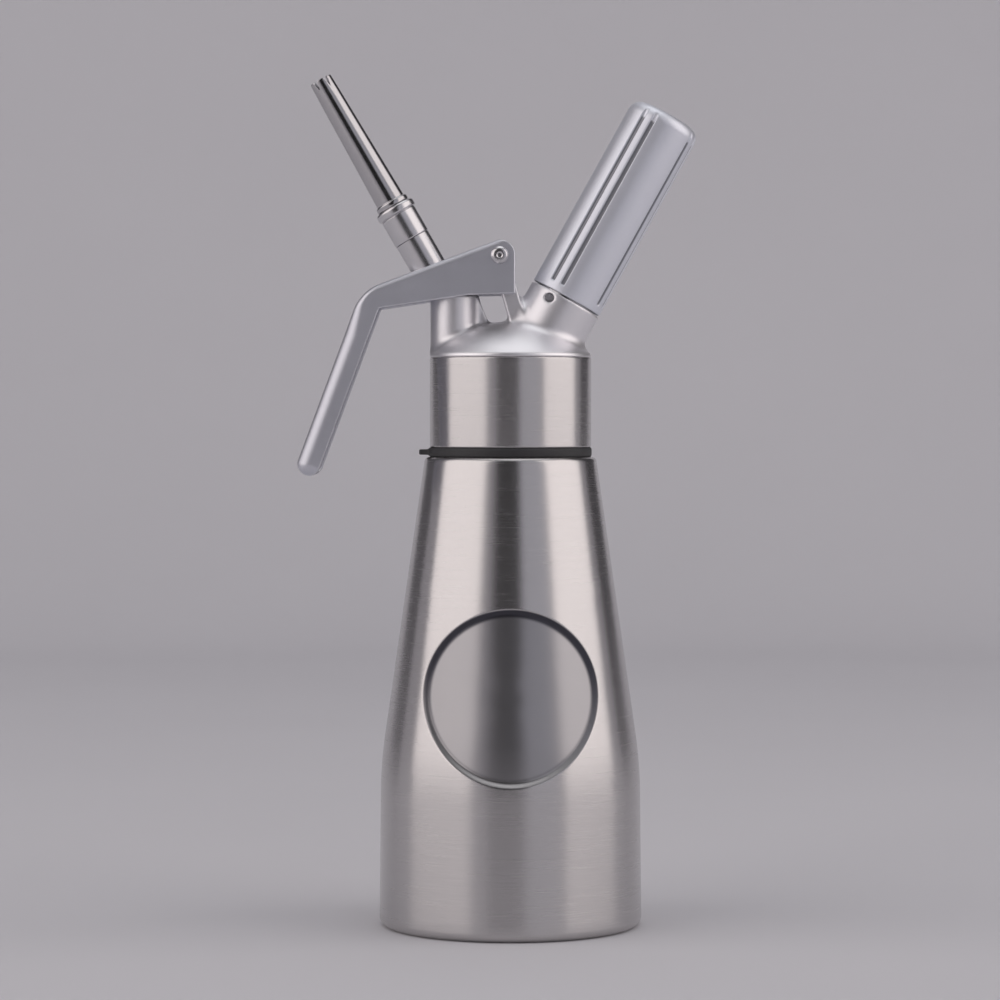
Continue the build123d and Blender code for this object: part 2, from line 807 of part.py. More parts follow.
# ---------------------------------------------------------------- charger and its holder
def bulb(radius, neck_radius, start, shoulder, end):
    """A round-ended cylinder with a neck, as a solid of revolution."""
    neck_end = charger_start + charger_neck_length
    body_start = neck_end + shoulder
    outline = (
        Line((0, start), (neck_radius, start))
        + Line((neck_radius, start), (neck_radius, neck_end))
        + Bezier((neck_radius, neck_end), (neck_radius, body_start), (radius, neck_end), (radius, body_start))
        + Line((radius, body_start), (radius, end - radius))
        + RadiusArc((radius, end - radius), (0, end), -radius)
        + Line((0, end), (0, start))
    )
    return revolve(make_face(Plane.XZ * outline), Axis.Z)


def make_gas_charger():
    shell = bulb(
        charger_radius, charger_neck_radius, charger_start, charger_shoulder_length, charger_end
    )
    hollow_radius = charger_radius - charger_wall
    hollow = bulb(
        hollow_radius,
        charger_neck_radius - charger_wall,
        charger_start + charger_wall,
        charger_shoulder_length + charger_wall,
        charger_end - charger_wall,
    )
    pierced = rod(charger_hole_radius, charger_start, charger_start + 2 * charger_wall)
    return inlet_frame * (shell - hollow - pierced)


def make_charger_holder():
    bore_radius = charger_radius + charger_fit
    holder = rod(holder_radius, holder_mouth, holder_end)
    holder = fillet(holder.edges().group_by(Axis.Z)[-1], holder_end_fillet)
    cavity_end = charger_end + charger_fit
    holder -= rod(nipple_radius + thread_clearance, holder_mouth, holder_thread_end)
    holder -= rod(bore_radius, holder_thread_end, cavity_end - bore_radius)
    holder -= Pos(0, 0, cavity_end - bore_radius) * Sphere(bore_radius)
    start = holder_mouth + grip_start
    groove = Pos(0, -holder_radius, start) * Box(
        grip_groove_width,
        2 * grip_groove_depth,
        holder_end - start,
        align=(Align.CENTER, Align.CENTER, Align.MIN),
    )
    half_angle = math.degrees(grip_groove_spacing / 2 / holder_radius)
    for index in range(grip_groups):
        angle = grip_first_angle + index * 360 / grip_groups
        holder -= Rot(0, 0, angle - half_angle) * groove
        holder -= Rot(0, 0, angle + half_angle) * groove
    return inlet_frame * holder


BOTTLE_PARTS = {
    "bottle_shell": make_bottle_shell,
    "neck_ring": make_neck_ring,
}
HEAD_PARTS = {
    "head_gasket": make_head_gasket,
    "head_casting": make_head_casting,
    "head_skirt": make_head_skirt,
    "pivot_pin": make_pivot_pin,
    "pivot_clip": make_pivot_clip,
    "valve_body": make_valve_body,
    "gland_ring": make_gland_ring,
    "valve_stem": make_valve_stem,
    "valve_seal": make_valve_seal,
    "valve_spring": make_valve_spring,
    "spring_washer": make_spring_washer,
    "outlet_elbow": make_outlet_elbow,
    "nozzle_coupling": make_nozzle_coupling,
    "tip_washer": make_tip_washer,
    "decorating_tip": make_decorating_tip,
    "lever": make_lever,
    "lever_saddle": make_lever_saddle,
    "inlet_nipple": make_inlet_nipple,
    "piercing_pin": make_piercing_pin,
    "charger_seal": make_charger_seal,
    "inlet_seal": make_inlet_seal,
    "inlet_valve": make_inlet_valve,
    "inlet_spring": make_inlet_spring,
    "inlet_cage": make_inlet_cage,
    "gas_charger": make_gas_charger,
    "charger_holder": make_charger_holder,
}

os.makedirs("parts", exist_ok=True)
for name, make in BOTTLE_PARTS.items():
    export_step(make(), f"parts/{name}.step")
for name, make in HEAD_PARTS.items():
    export_step(on_bottle * make(), f"parts/{name}.step")
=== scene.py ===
# %% [markdown]
# # A whipped cream dispenser, dressed in Blender
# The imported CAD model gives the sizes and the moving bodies. Every piece made here is placed
# in the same frame, in metres, and rides on one of those bodies. The large visible shells are
# made again as smooth meshes, because long reflections on steel show every facet.

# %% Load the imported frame
import json
import math

import bpy
import numpy as np
from mathutils import Matrix, Vector


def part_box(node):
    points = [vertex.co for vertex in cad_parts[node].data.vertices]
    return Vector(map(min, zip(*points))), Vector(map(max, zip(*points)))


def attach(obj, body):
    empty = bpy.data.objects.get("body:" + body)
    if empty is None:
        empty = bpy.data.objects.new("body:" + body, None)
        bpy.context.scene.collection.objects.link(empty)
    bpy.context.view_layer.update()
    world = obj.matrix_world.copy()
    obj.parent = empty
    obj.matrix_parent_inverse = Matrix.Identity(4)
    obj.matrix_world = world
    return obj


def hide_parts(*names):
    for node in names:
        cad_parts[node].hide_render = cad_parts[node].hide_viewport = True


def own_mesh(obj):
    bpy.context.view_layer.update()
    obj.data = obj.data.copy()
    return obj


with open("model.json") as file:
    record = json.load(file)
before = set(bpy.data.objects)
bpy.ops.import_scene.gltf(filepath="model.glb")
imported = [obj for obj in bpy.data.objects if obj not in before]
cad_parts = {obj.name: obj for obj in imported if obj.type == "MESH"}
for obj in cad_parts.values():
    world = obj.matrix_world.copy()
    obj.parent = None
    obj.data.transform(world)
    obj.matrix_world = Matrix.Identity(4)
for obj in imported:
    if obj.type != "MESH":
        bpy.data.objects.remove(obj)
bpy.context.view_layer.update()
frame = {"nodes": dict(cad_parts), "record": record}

MM = 0.001
nodes = frame["nodes"]

# %% [markdown]
# ## Shared sizes and the two leaning axes
# Sizes that several pieces share come first, in millimetres. The outlet leans to the left and
# the charger holder to the right. A piece on one of them is made upright, as on a lathe, and
# then laid along its axis by a matrix. That keeps each profile in the plain sizes of a
# workshop drawing.

# %% Lay the leaning axes
SHOULDER = 157.0
SKIRT_RADIUS, SKIRT_FOOT, SKIRT_TOP = 27.0, 160.2, 190.2
CORE_RADIUS = 26.0
TOWER_X = -18.8
PIVOT = (-3.6, 224.0)
PIVOT_X, PIVOT_Z = PIVOT
ARM_SLOPE = HANDLE_LEAN = math.radians(20.5)
OUTLET_LEAN, INLET_LEAN = math.radians(30), math.radians(29)
INLET_FOOT = (13.1, 0.0, 200.0)
OUTLET = Matrix.Translation((-28.8, 0.0, 222.8)) @ Matrix.Rotation(-OUTLET_LEAN, 4, "Y")
INLET = Matrix.Translation(INLET_FOOT) @ Matrix.Rotation(INLET_LEAN, 4, "Y")
UPRIGHT = Matrix.Identity(4)
print("outlet axis", [round(v, 3) for v in OUTLET.col[2][:3]])

# %% [markdown]
# ## Rounded profiles
# A lathe profile is a list of corners. Real edges are never sharp, so each corner gets a
# radius, and the corner becomes a short arc. The arc is what catches the light.


# %% Round the corners of a profile
def rounded(corners, steps=5):
    """Points along a polyline whose corners are (r, z) or (r, z, radius)."""
    points = []
    for index, corner in enumerate(corners):
        here = np.array(corner[:2], float)
        radius = corner[2] if len(corner) > 2 else 0.0
        if radius == 0 or index in (0, len(corners) - 1):
            points.append(tuple(here))
            continue
        before = np.array(corners[index - 1][:2], float) - here
        after = np.array(corners[index + 1][:2], float) - here
        before /= np.linalg.norm(before)
        after /= np.linalg.norm(after)
        half = math.acos(max(-1.0, min(1.0, float(before @ after)))) / 2
        reach = radius / math.tan(half)
        middle = (before + after) / np.linalg.norm(before + after)
        centre = here + middle * radius / math.sin(half)
        first = here + before * reach - centre
        last = here + after * reach - centre
        sweep = math.pi - 2 * half
        turn = math.copysign(sweep, first[0] * last[1] - first[1] * last[0])
        for step in range(steps + 1):
            angle = turn * step / steps
            c, s = math.cos(angle), math.sin(angle)
            points.append(
                (centre[0] + c * first[0] - s * first[1], centre[1] + s * first[0] + c * first[1])
            )
    return points


print("a rounded corner has", len(rounded([(0, 0), (5, 0, 1), (5, 5)])), "points")


# %% Steps that start and stop
def ramp(value):
    """0 below 0, 1 above 1 and straight in between."""
    return min(1.0, max(0.0, value))


def ease(share):
    """From 0 to 1 with a soft start and a soft end."""
    return share * share * (3 - 2 * share)


print("a third of the way eases to", round(ease(1 / 3), 2))

# %% [markdown]
# ## From vertices to a piece
# Every piece ends the same way: a mesh with smooth shading, the material of its finish slot,
# the body that carries it, and the CAD nodes it stands for hidden. One function does that, so
# that no piece can forget a step. Weighted normals keep the flats of a turned piece flat beside
# its small arcs. A grown piece brings normals of its own, and how sharply it bends.


# %% Turn vertices and faces into a piece
def piece(name, shape, body, slot, replaces=(), place=UPRIGHT, weighted=True):
    """Make a mesh in millimetres, lay it in the frame and hang it on its body."""
    verts, faces, normals, curve = (*shape, None, None)[:4]
    mesh = bpy.data.meshes.new(name)
    matrix = np.array(place)
    points = np.asarray(verts, float) @ matrix[:3, :3].T + matrix[:3, 3]
    mesh.from_pydata((points * MM).tolist(), [], faces)
    mesh.validate()
    for face in mesh.polygons:
        face.use_smooth = True
    if normals is not None:
        mesh.normals_split_custom_set_from_vertices((normals @ matrix[:3, :3].T).tolist())
    if curve is not None:
        carried = mesh.attributes.new("curve", "FLOAT", "POINT")
        carried.data.foreach_set("value", curve.astype(np.float32))
    made = bpy.data.objects.new(name, mesh)
    bpy.context.scene.collection.objects.link(made)
    if normals is None and weighted:
        flats = made.modifiers.new("flats", "WEIGHTED_NORMAL")
        flats.keep_sharp = True
        flats.weight = 80
    made.data.materials.append(finishes[slot])
    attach(made, body)
    if replaces:
        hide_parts(*replaces)
    print(name, len(mesh.vertices), "vertices on", body)
    return made


# %% [markdown]
# ## The lathe
# Most of the dispenser is turned or spun, so most pieces are a profile swept round an axis.
# A small function may move each point as it goes round, which cuts grooves, threads and
# notches without any boolean. Rows added along a long wall give that function points to move.


# %% Sweep a profile round its axis
def add_face(faces, loop):
    """Add a face, without the doubled corners that meet on the axis."""
    loop = [v for n, v in enumerate(loop) if v != loop[n - 1]]
    if len(loop) > 2:
        faces.append(loop)


def with_rows(profile, rows, here):
    """The profile with more rows, put in before the first point for which here is true."""
    at = next(n for n, point in enumerate(profile) if here(*point))
    return profile[:at] + rows + profile[at:]


def turned(profile, steps=96, shape=None, closed=True):
    """Vertices and faces of a profile of (r, z) swept round Z."""
    profile = np.array(profile, float)
    rows = len(profile)
    angles = np.linspace(0, 2 * math.pi, steps, endpoint=False)
    verts, index = [], {}
    for column, angle in enumerate(angles):
        for row, (r, z) in enumerate(profile):
            if r < 1e-6 and column > 0:
                index[column, row] = index[0, row]
                continue
            rr, zz = shape(angle, r, z) if shape else (r, z)
            index[column, row] = len(verts)
            verts.append((rr * math.sin(angle), -rr * math.cos(angle), zz))
    faces = []
    for column in range(steps):
        beside = (column + 1) % steps
        for row in range(rows if closed else rows - 1):
            above = (row + 1) % rows
            corners = [(column, row), (beside, row), (beside, above), (column, above)]
            add_face(faces, [index[corner] for corner in corners])
    return verts, faces


print("a plain ring has", len(turned([(4, 0), (5, 0), (5, 1), (4, 1)])[1]), "faces")

# %% [markdown]
# ## Pieces grown from a distance field
# A cast head has no sharp inner corners: the tower, the post and the boss flow into the dome.
# Booleans would leave hard seams there. A distance field says how far each point lies from
# the surface, below 0 inside it, and fields blend softly.


# %% Field shapes that the grown pieces use
def length(*parts):
    return np.sqrt(sum(p * p for p in parts))


def round_max(a, b, radius):
    """The overlap of two fields with its edge rounded."""
    ua, ub = a + radius, b + radius
    outside = length(np.maximum(ua, 0), np.maximum(ub, 0))
    return np.minimum(np.maximum(ua, ub), 0) + outside - radius


def soft_min(a, b, blend):
    """The union of two fields with a fillet of about this size."""
    share = np.clip(0.5 + 0.5 * (b - a) / blend, 0, 1)
    return b + (a - b) * share - blend * share * (1 - share)


def rod(x, y, z, radius, low, high, edge=0.3):
    """A cylinder along Z."""
    return round_max(length(x, y) - radius, np.maximum(low - z, z - high), edge)


def polygon(x, z, corners):
    """The exact distance to a closed polygon, negative inside."""
    corners = [np.array(c, float) for c in corners]
    best = np.full(np.broadcast(x, z).shape, 1e9)
    inside = np.zeros(best.shape, bool)
    for index, end in enumerate(corners):
        start = corners[index - 1]
        edge = end - start
        px, pz = x - start[0], z - start[1]
        share = np.clip((px * edge[0] + pz * edge[1]) / (edge @ edge), 0, 1)
        best = np.minimum(best, length(px - edge[0] * share, pz - edge[1] * share))
        crosses = (z >= start[1]) != (z >= end[1])
        if edge[1] != 0:
            reach = start[0] + (z - start[1]) * edge[0] / edge[1]
            inside ^= crosses & (x < reach)
    return np.where(inside, -best, best)


def local(x, y, z, place):
    """Points seen from a leaning axis."""
    back = np.array(place.inverted())
    return tuple(back[i, 0] * x + back[i, 1] * y + back[i, 2] * z + back[i, 3] for i in range(3))


print("a point 3 mm outside a rod:", round(float(rod(8.0, 0.0, 0.0, 5.0, -9.0, 9.0)), 2))

# %% [markdown]
# ## The surface of a field
# The field is worked out on a grid, and every cell that the surface crosses gets one vertex.
# Where the surface crosses the cell's edges, the field's slope gives a small plane. The vertex
# goes where those planes meet best, which keeps edges crisp. A light hold keeps it near the
# crossings where the planes are almost parallel, and then it settles on the surface. The
# normals come from the slope too, felt over part of a cell so that edges shade smoothly. The
# curvature is kept as well, and lets a finish wear the edges and paint shade into the corners.

# %% Measure a field's slope and bend
SLOPE_REACH = 0.02
CURVE_REACH = 0.3


def slope(field, points, reach=SLOPE_REACH):
    """How fast the field grows along X, Y and Z at each point."""
    parts = []
    for shift in np.eye(3) * reach:
        parts.append(field(*(points + shift).T) - field(*(points - shift).T))
    return np.stack(parts, 1) / (2 * reach)


def bend_of(field, points):
    """How sharply the surface bends: above 0 on edges, below 0 in corners."""
    curve = -6 * field(*points.T)
    for shift in np.concatenate([np.eye(3), -np.eye(3)]) * CURVE_REACH:
        curve += field(*(points + shift).T)
    return curve / CURVE_REACH**2


def unit(vectors):
    """The same directions with a length of 1."""
    return vectors / np.maximum(np.linalg.norm(vectors, axis=1), 1e-6)[:, None]


tilt = unit(slope(lambda x, y, z: x + 0 * y + 2 * z, np.zeros((1, 3))))
print("a slanted field points along", tilt.round(2)[0])

# %% Place one point in every crossed cell
CELL_CORNERS = [(i, j, k) for i in (0, 1) for j in (0, 1) for k in (0, 1)]
HOLD = 0.08


def meeting_points(field, grid, where, low, step):
    """In each cell, the point where the planes of its crossed edges meet best."""
    total, hits = np.zeros((len(where), 3)), np.zeros(len(where))
    planes, offsets = np.zeros((len(where), 3, 3)), np.zeros((len(where), 3))
    for a in range(8):
        for b in range(a + 1, 8):
            pa, pb = np.array(CELL_CORNERS[a]), np.array(CELL_CORNERS[b])
            if abs(pa - pb).sum() != 1:
                continue
            da, db = grid[tuple((where + pa).T)], grid[tuple((where + pb).T)]
            cut = (da < 0) != (db < 0)
            share = np.where(cut, da / np.where(cut, da - db, 1), 0)
            meets = np.array(low) + (where + pa + (pb - pa) * share[:, None])[cut] * step
            facing = unit(slope(field, meets))
            total[cut] += meets
            hits += cut
            planes[cut] += facing[:, :, None] * facing[:, None, :]
            offsets[cut] += facing * (facing * meets).sum(1)[:, None]
    points = total / hits[:, None]
    miss = offsets - np.einsum("nij,nj->ni", planes, points)
    move = np.linalg.solve(planes + HOLD * np.eye(3), miss[:, :, None])[:, :, 0]
    return points + np.clip(move, -0.8 * step, 0.8 * step)


print("a cell has", len(CELL_CORNERS), "corners")


# %% Join the points round every crossed edge
def quads_between(inside, number):
    """One face round each edge of the grid that the surface crosses, facing outward."""
    faces = []
    for axis in range(3):
        u, v = (axis + 1) % 3, (axis + 2) % 3
        first = [slice(None)] * 3
        second = [slice(None)] * 3
        first[axis], second[axis] = slice(0, -1), slice(1, None)
        change = inside[tuple(first)] != inside[tuple(second)]
        spots = np.argwhere(change)
        spots = spots[(spots[:, u] > 0) & (spots[:, v] > 0)]
        spots = spots[(spots[:, u] < inside.shape[u] - 1) & (spots[:, v] < inside.shape[v] - 1)]
        outward = inside[tuple(spots.T)]
        loop = []
        for du, dv in ((-1, -1), (0, -1), (0, 0), (-1, 0)):
            cell = spots.copy()
            cell[:, u] += du
            cell[:, v] += dv
            loop.append(number[tuple(cell.T)])
        quads = np.stack(loop, 1)
        quads[~outward] = quads[~outward][:, ::-1]
        faces.append(quads)
    return np.concatenate(faces).tolist()


lone = np.zeros((3, 3, 3), bool)
lone[1, 1, 1] = True
wrapped = quads_between(lone, np.arange(8).reshape(2, 2, 2))
print("one inner point is wrapped in", len(wrapped), "faces")

# %% Find the surface of a field
EDGE_BLEND = 0.45


def grown(field, low, high, step):
    """Vertices, faces, normals and curvature of the zero surface of a field."""
    axes = [np.arange(low[i], high[i] + step, step) for i in range(3)]
    grid = field(axes[0][:, None, None], axes[1][None, :, None], axes[2][None, None, :])
    inside = grid < 0
    cells = tuple(n - 1 for n in grid.shape)
    count = sum(
        inside[i : i + cells[0], j : j + cells[1], k : k + cells[2]].astype(np.int8)
        for i, j, k in CELL_CORNERS
    )
    where = np.argwhere((count > 0) & (count < 8))
    number = np.full(cells, -1)
    number[tuple(where.T)] = np.arange(len(where))
    points = meeting_points(field, grid, where, low, step)
    for _ in range(2):
        g = slope(field, points)
        move = field(*points.T)[:, None] * g / np.maximum((g * g).sum(1), 0.05)[:, None]
        points -= np.clip(move, -0.6 * step, 0.6 * step)
    normals = unit(slope(field, points, EDGE_BLEND * step))
    return points, quads_between(inside, number), normals, bend_of(field, points)


ball = grown(lambda x, y, z: length(x, y, z) - 3.0, (-4, -4, -4), (4, 4, 4), 1.0)
print("a small ball grows", len(ball[0]), "vertices")

# %% [markdown]
# ## Shader maths written as sums
# A procedural finish is arithmetic on textures. Wrapped sockets let the arithmetic be written
# as plain Python, and each operator adds its Math node. Everything else comes from one
# method, which sets a node up and joins its sockets.


# %% A socket that can be added and multiplied
class Value:
    """One output socket of a shader tree, with the usual operators."""

    def __init__(self, recipe, socket):
        self.recipe = recipe
        self.socket = socket

    def __add__(self, other):
        return self.recipe.math("ADD", self, other)

    def __sub__(self, other):
        return self.recipe.math("SUBTRACT", self, other)

    def __rsub__(self, other):
        return self.recipe.math("SUBTRACT", other, self)

    def __mul__(self, other):
        return self.recipe.math("MULTIPLY", self, other)

    __radd__ = __add__
    __rmul__ = __mul__


# %% A recipe that builds one material
class Recipe:
    """A material, or the world, with its one shader and the nodes that feed it."""

    def __init__(self, name, world=False):
        self.material = (bpy.data.worlds if world else bpy.data.materials).new(name)
        self.material.use_nodes = True
        self.tree = self.material.node_tree
        self.shader = self.tree.nodes["Background" if world else "Principled BSDF"]

    def node(self, kind, settings=None, out=0, **sockets):
        """Add a node, set it up, join its sockets and give back one output.

        A socket is called by its name, or by its place as i0, i1 and so on.
        """
        made = self.tree.nodes.new(kind)
        for key, setting in (settings or {}).items():
            setattr(made, key, setting)
        for key, value in sockets.items():
            wanted = int(key[1:]) if key[1:].isdigit() else key.replace("_", " ")
            self.put(made.inputs[wanted], value)
        return Value(self, made.outputs[out])

    def put(self, socket, value):
        """Join a link to a socket, or set a plain number or colour on it."""
        if isinstance(value, Value):
            self.tree.links.new(value.socket, socket)
        elif isinstance(value, tuple) and len(value) == 3 and socket.type == "RGBA":
            socket.default_value = (*value, 1)
        else:
            socket.default_value = value

    def math(self, operation, a, b):
        return self.node("ShaderNodeMath", {"operation": operation}, i0=a, i1=b)

    def mix(self, share, a, b):
        """A colour between a and b."""
        return self.node("ShaderNodeMix", {"data_type": "RGBA"}, out=2, i0=share, i6=a, i7=b)

    def shades(self, share, tint, darkest):
        """The tint where share is 1, and a darker shade of it where share is 0."""
        return self.mix(share, tuple(darkest * c for c in tint), tint)

    def place(self, scale=(1.0, 1.0, 1.0), turn=(0.0, 0.0, 0.0), origin=(0.0, 0.0, 0.0)):
        """The object's own coordinates in metres, as seen from a turned and moved frame."""
        spot = self.node("ShaderNodeTexCoord", out=3)
        return self.node(
            "ShaderNodeMapping",
            {"vector_type": "TEXTURE"},
            Vector=spot,
            Location=origin,
            Scale=scale,
            Rotation=turn,
        )

    def part(self, vector, axis):
        """One coordinate of a vector."""
        return self.node("ShaderNodeSeparateXYZ", out=axis, Vector=vector)

    def reach(self, vector, across):
        """How far a point lies from an axis. across is 1 in the directions that count."""
        flat = self.node("ShaderNodeVectorMath", {"operation": "MULTIPLY"}, i0=vector, i1=across)
        return self.node("ShaderNodeVectorMath", {"operation": "LENGTH"}, out=1, i0=flat)

    def curve(self):
        """The bend that a grown piece carries: above 0 on edges, below 0 in corners."""
        return self.node("ShaderNodeAttribute", {"attribute_name": "curve"}, out=2)

    def rise(self, value, low, high):
        """0 below low and 1 above high, with a soft step between them."""
        step = {"interpolation_type": "SMOOTHSTEP"}
        return self.node("ShaderNodeMapRange", step, Value=value, From_Min=low, From_Max=high)

    def noise(self, vector, scale, detail=3.0, roughness=0.55):
        """Noise from 0 to 1. A larger scale gives a finer grain."""
        return self.node(
            "ShaderNodeTexNoise", Vector=vector, Scale=scale, Detail=detail, Roughness=roughness
        )

    def set(self, **sockets):
        """Set sockets of the shader itself."""
        for key, value in sockets.items():
            self.put(self.shader.inputs[key.replace("_", " ")], value)

    def bump(self, height, strength, distance):
        """Let a height, over a distance in metres, tilt the shading."""
        self.put(
            self.shader.inputs["Normal"],
            self.node("ShaderNodeBump", Height=height, Strength=strength, Distance=distance),
        )


finishes = {}
print("recipe ready")

# %% [markdown]
# ## Spun steel
# The bottle and the head's skirt are spun and then brushed on the lathe, so the fine lines run
# round them. Such lines smear a reflection up and down and keep it sharp from side to side,
# which gives steel its tall bright and dark bands. The anisotropic part of the shader does the
# smearing. Noise squeezed along the height gives the lines themselves. The medallion in the
# bottle's front is etched to a duller grey, and painted shade darkens its pressed rim, most of
# all along the rim's top.

# %% Spun steel
MEDALLION_HEIGHT = 79.0
MEDALLION_RADIUS = 28.75
MEDALLION_DEPTH = 1.2
ETCH_EDGE = (0.0264, 0.0270)
RIM_STARTS, RIM_ENDS = (0.0256, 0.0268), (0.0284, 0.0290)
ETCHED_STEEL = (0.36, 0.355, 0.37)
# The colour of the painted shade in the medallion's pressed rim.
RIM_PAINTED_SHADE = (0.06, 0.06, 0.075)
ROUND_THE_AXIS = 0.25


def spun_steel(name, tint, rough, smear, line_depth):
    steel = Recipe(name)
    lines = steel.noise(steel.place((1.0, 1.0, 0.012)), 60.0, 4.0, 0.7)
    coarse = steel.noise(steel.place((1.0, 1.0, 0.05)), 40.0, 2.0)
    cloud = steel.noise(steel.place((1.0, 1.0, 1.6)), 26.0, 3.0)
    seen = steel.place(origin=(0.0, 0.0, MEDALLION_HEIGHT * MM))
    reach = steel.reach(seen, (1.0, 0.0, 1.0))
    front = steel.rise(steel.part(seen, 1), 0.0, -0.001)
    etched = (1 - steel.rise(reach, *ETCH_EDGE)) * front
    # Painted shade in the medallion's pressed rim, darker towards its top, where the upper wall
    # is in shade.
    corner = steel.rise(reach, *RIM_STARTS) * (1 - steel.rise(reach, *RIM_ENDS)) * front
    height = steel.part(seen, 2)
    corner = corner * (0.3 + steel.rise(height, -0.03, 0.012) * 0.66)
    shade = steel.shades(lines * 0.75 + cloud * 0.3, tint, 0.82)
    shade = steel.mix(etched * 0.8, shade, ETCHED_STEEL)
    shade = steel.mix(corner, shade, RIM_PAINTED_SHADE)
    grain = rough - 0.07 + lines * 0.09 + coarse * 0.04 + cloud * 0.03
    steel.set(
        Base_Color=shade,
        Metallic=1.0,
        Roughness=grain + etched * 0.06 + corner * 0.1,
        Anisotropic=smear,
        Anisotropic_Rotation=ROUND_THE_AXIS,
    )
    steel.bump(lines * 0.7 + coarse * 0.3, line_depth, 0.00005)
    return steel.material


finishes["bottle_steel"] = spun_steel("spun steel", (0.66, 0.64, 0.64), 0.25, 0.78, 0.45)
print("finish", finishes["bottle_steel"].name)

# %% [markdown]
# ## Turned and polished small parts
# Nuts, stems and pins come off an automatic lathe with a brighter, finer surface. The tip is
# polished further. They share one recipe with different depth and roughness.


# %% Turned steel
def turned_steel(name, tint, rough, grain=900.0, depth=0.2):
    steel = Recipe(name)
    fine = steel.noise(steel.place(), grain, 2.0)
    cloud = steel.noise(steel.place(), 90.0, 3.0)
    steel.set(
        Base_Color=steel.shades(cloud * 0.6 + fine * 0.3, tint, 0.85),
        Metallic=1.0,
        Roughness=rough - 0.04 + fine * 0.05 + cloud * 0.06,
    )
    steel.bump(fine, depth, 0.00003)
    return steel.material


finishes["turned_steel"] = turned_steel("turned steel", (0.72, 0.71, 0.73), 0.23)
finishes["tip_steel"] = turned_steel("polished tip steel", (0.58, 0.57, 0.585), 0.16, 700.0, 0.1)
finishes["spring_steel"] = turned_steel("spring wire", (0.42, 0.42, 0.43), 0.3)
finishes["charger_steel"] = turned_steel("zinc plated steel", (0.66, 0.67, 0.7), 0.28)
print("small part finishes", len(finishes))

# %% [markdown]
# ## Satin casting
# The head is a die casting that is tumbled and lightly polished. It keeps a soft, slightly
# uneven skin, warmer than the steel, so its highlights are broad.


# %% Satin casting
def satin_casting(name, tint, rough):
    cast = Recipe(name)
    skin = cast.noise(cast.place(), 260.0, 4.0, 0.6)
    cloud = cast.noise(cast.place(), 45.0, 3.0)
    curve = cast.curve()
    worn = cast.rise(curve, 0.5, 2.2)
    # Concave corners get painted shade in their colour, and a little more roughness.
    painted_corner_shade = cast.rise(curve, -0.3, -1.6)
    shade = cast.shades(cloud * 0.7 + skin * 0.25, tint, 0.86)
    shade = cast.mix(painted_corner_shade * 0.45, shade, (0.32, 0.31, 0.31))
    cast.set(
        Base_Color=cast.mix(worn * 0.5, shade, (0.93, 0.92, 0.93)),
        Metallic=0.88,
        Roughness=rough - 0.05 + skin * 0.06 + cloud * 0.06 - worn * 0.06 + painted_corner_shade * 0.1,
    )
    cast.bump(skin, 0.12, 0.00008)
    return cast.material


finishes["head_alloy"] = satin_casting("satin casting", (0.9, 0.89, 0.92), 0.4)
print("finish", finishes["head_alloy"].name)

# %% [markdown]
# ## Pressed lever and turned holder
# The lever is sheet metal that is brushed along its length before it is pressed. The holder is
# anodised and blasted, so it is paler, bluer and more matt than the rest, and its flutes get
# painted shade. They are found by their distance from the holder's axis, in metres.

# %% Lever and holder finishes
FLUTE_FLOOR, FLUTE_LIP = (0.0115, 0.0117), (0.0120, 0.0124)
FLUTE_TOP = (0.0755, 0.0765)
# The colour of the painted shade in the grip's flutes.
FLUTE_PAINTED_SHADE = (0.12, 0.125, 0.14)


def brushed_sheet(name, tint, rough):
    sheet = Recipe(name)
    lines = sheet.noise(sheet.place((0.05, 1.0, 0.05), (0.0, ARM_SLOPE, 0.0)), 60.0, 3.0, 0.7)
    cloud = sheet.noise(sheet.place(), 70.0, 3.0)
    worn = sheet.rise(sheet.curve(), 0.1, 1.8)
    shade = sheet.shades(cloud * 0.6 + lines * 0.3, tint, 0.85)
    sheet.set(
        Base_Color=sheet.mix(worn * 0.4, shade, (0.8, 0.8, 0.83)),
        Metallic=1.0,
        Roughness=rough - 0.05 + lines * 0.08 + cloud * 0.05 - worn * 0.12,
    )
    sheet.bump(lines, 0.15, 0.00004)
    return sheet.material


def anodised_alloy(name, tint, rough):
    """A blasted and anodised skin, with painted shade in the grip's flutes."""
    skin = Recipe(name)
    grain = skin.noise(skin.place(), 800.0, 3.0)
    cloud = skin.noise(skin.place(), 60.0, 3.0)
    foot = tuple(MM * v for v in INLET_FOOT)
    along = skin.place(turn=(0.0, INLET_LEAN, 0.0), origin=foot)
    reach = skin.reach(along, (1.0, 1.0, 0.0))
    height = skin.part(along, 2)
    # Painted shade on the floors of the flutes, fading out near the holder's end.
    flute = skin.rise(reach, *FLUTE_FLOOR) * (1 - skin.rise(reach, *FLUTE_LIP))
    flute = flute * (1 - skin.rise(height, *FLUTE_TOP))
    shade = skin.shades(cloud * 0.6 + grain * 0.3, tint, 0.9)
    skin.set(
        Base_Color=skin.mix(flute * 0.8, shade, FLUTE_PAINTED_SHADE),
        Metallic=0.8,
        Roughness=rough - 0.04 + grain * 0.05 + cloud * 0.04,
    )
    skin.bump(grain, 0.15, 0.00003)
    return skin.material


finishes["lever_steel"] = brushed_sheet("brushed sheet", (0.7, 0.71, 0.77), 0.45)
finishes["holder_alloy"] = anodised_alloy("anodised alloy", (0.84, 0.86, 0.93), 0.46)
print("finishes", len(finishes))

# %% [markdown]
# ## Rubber
# The seals are black food-safe rubber. It is never truly black: fine dust and handling lift
# it a little, and it has a matt, faintly grained skin.

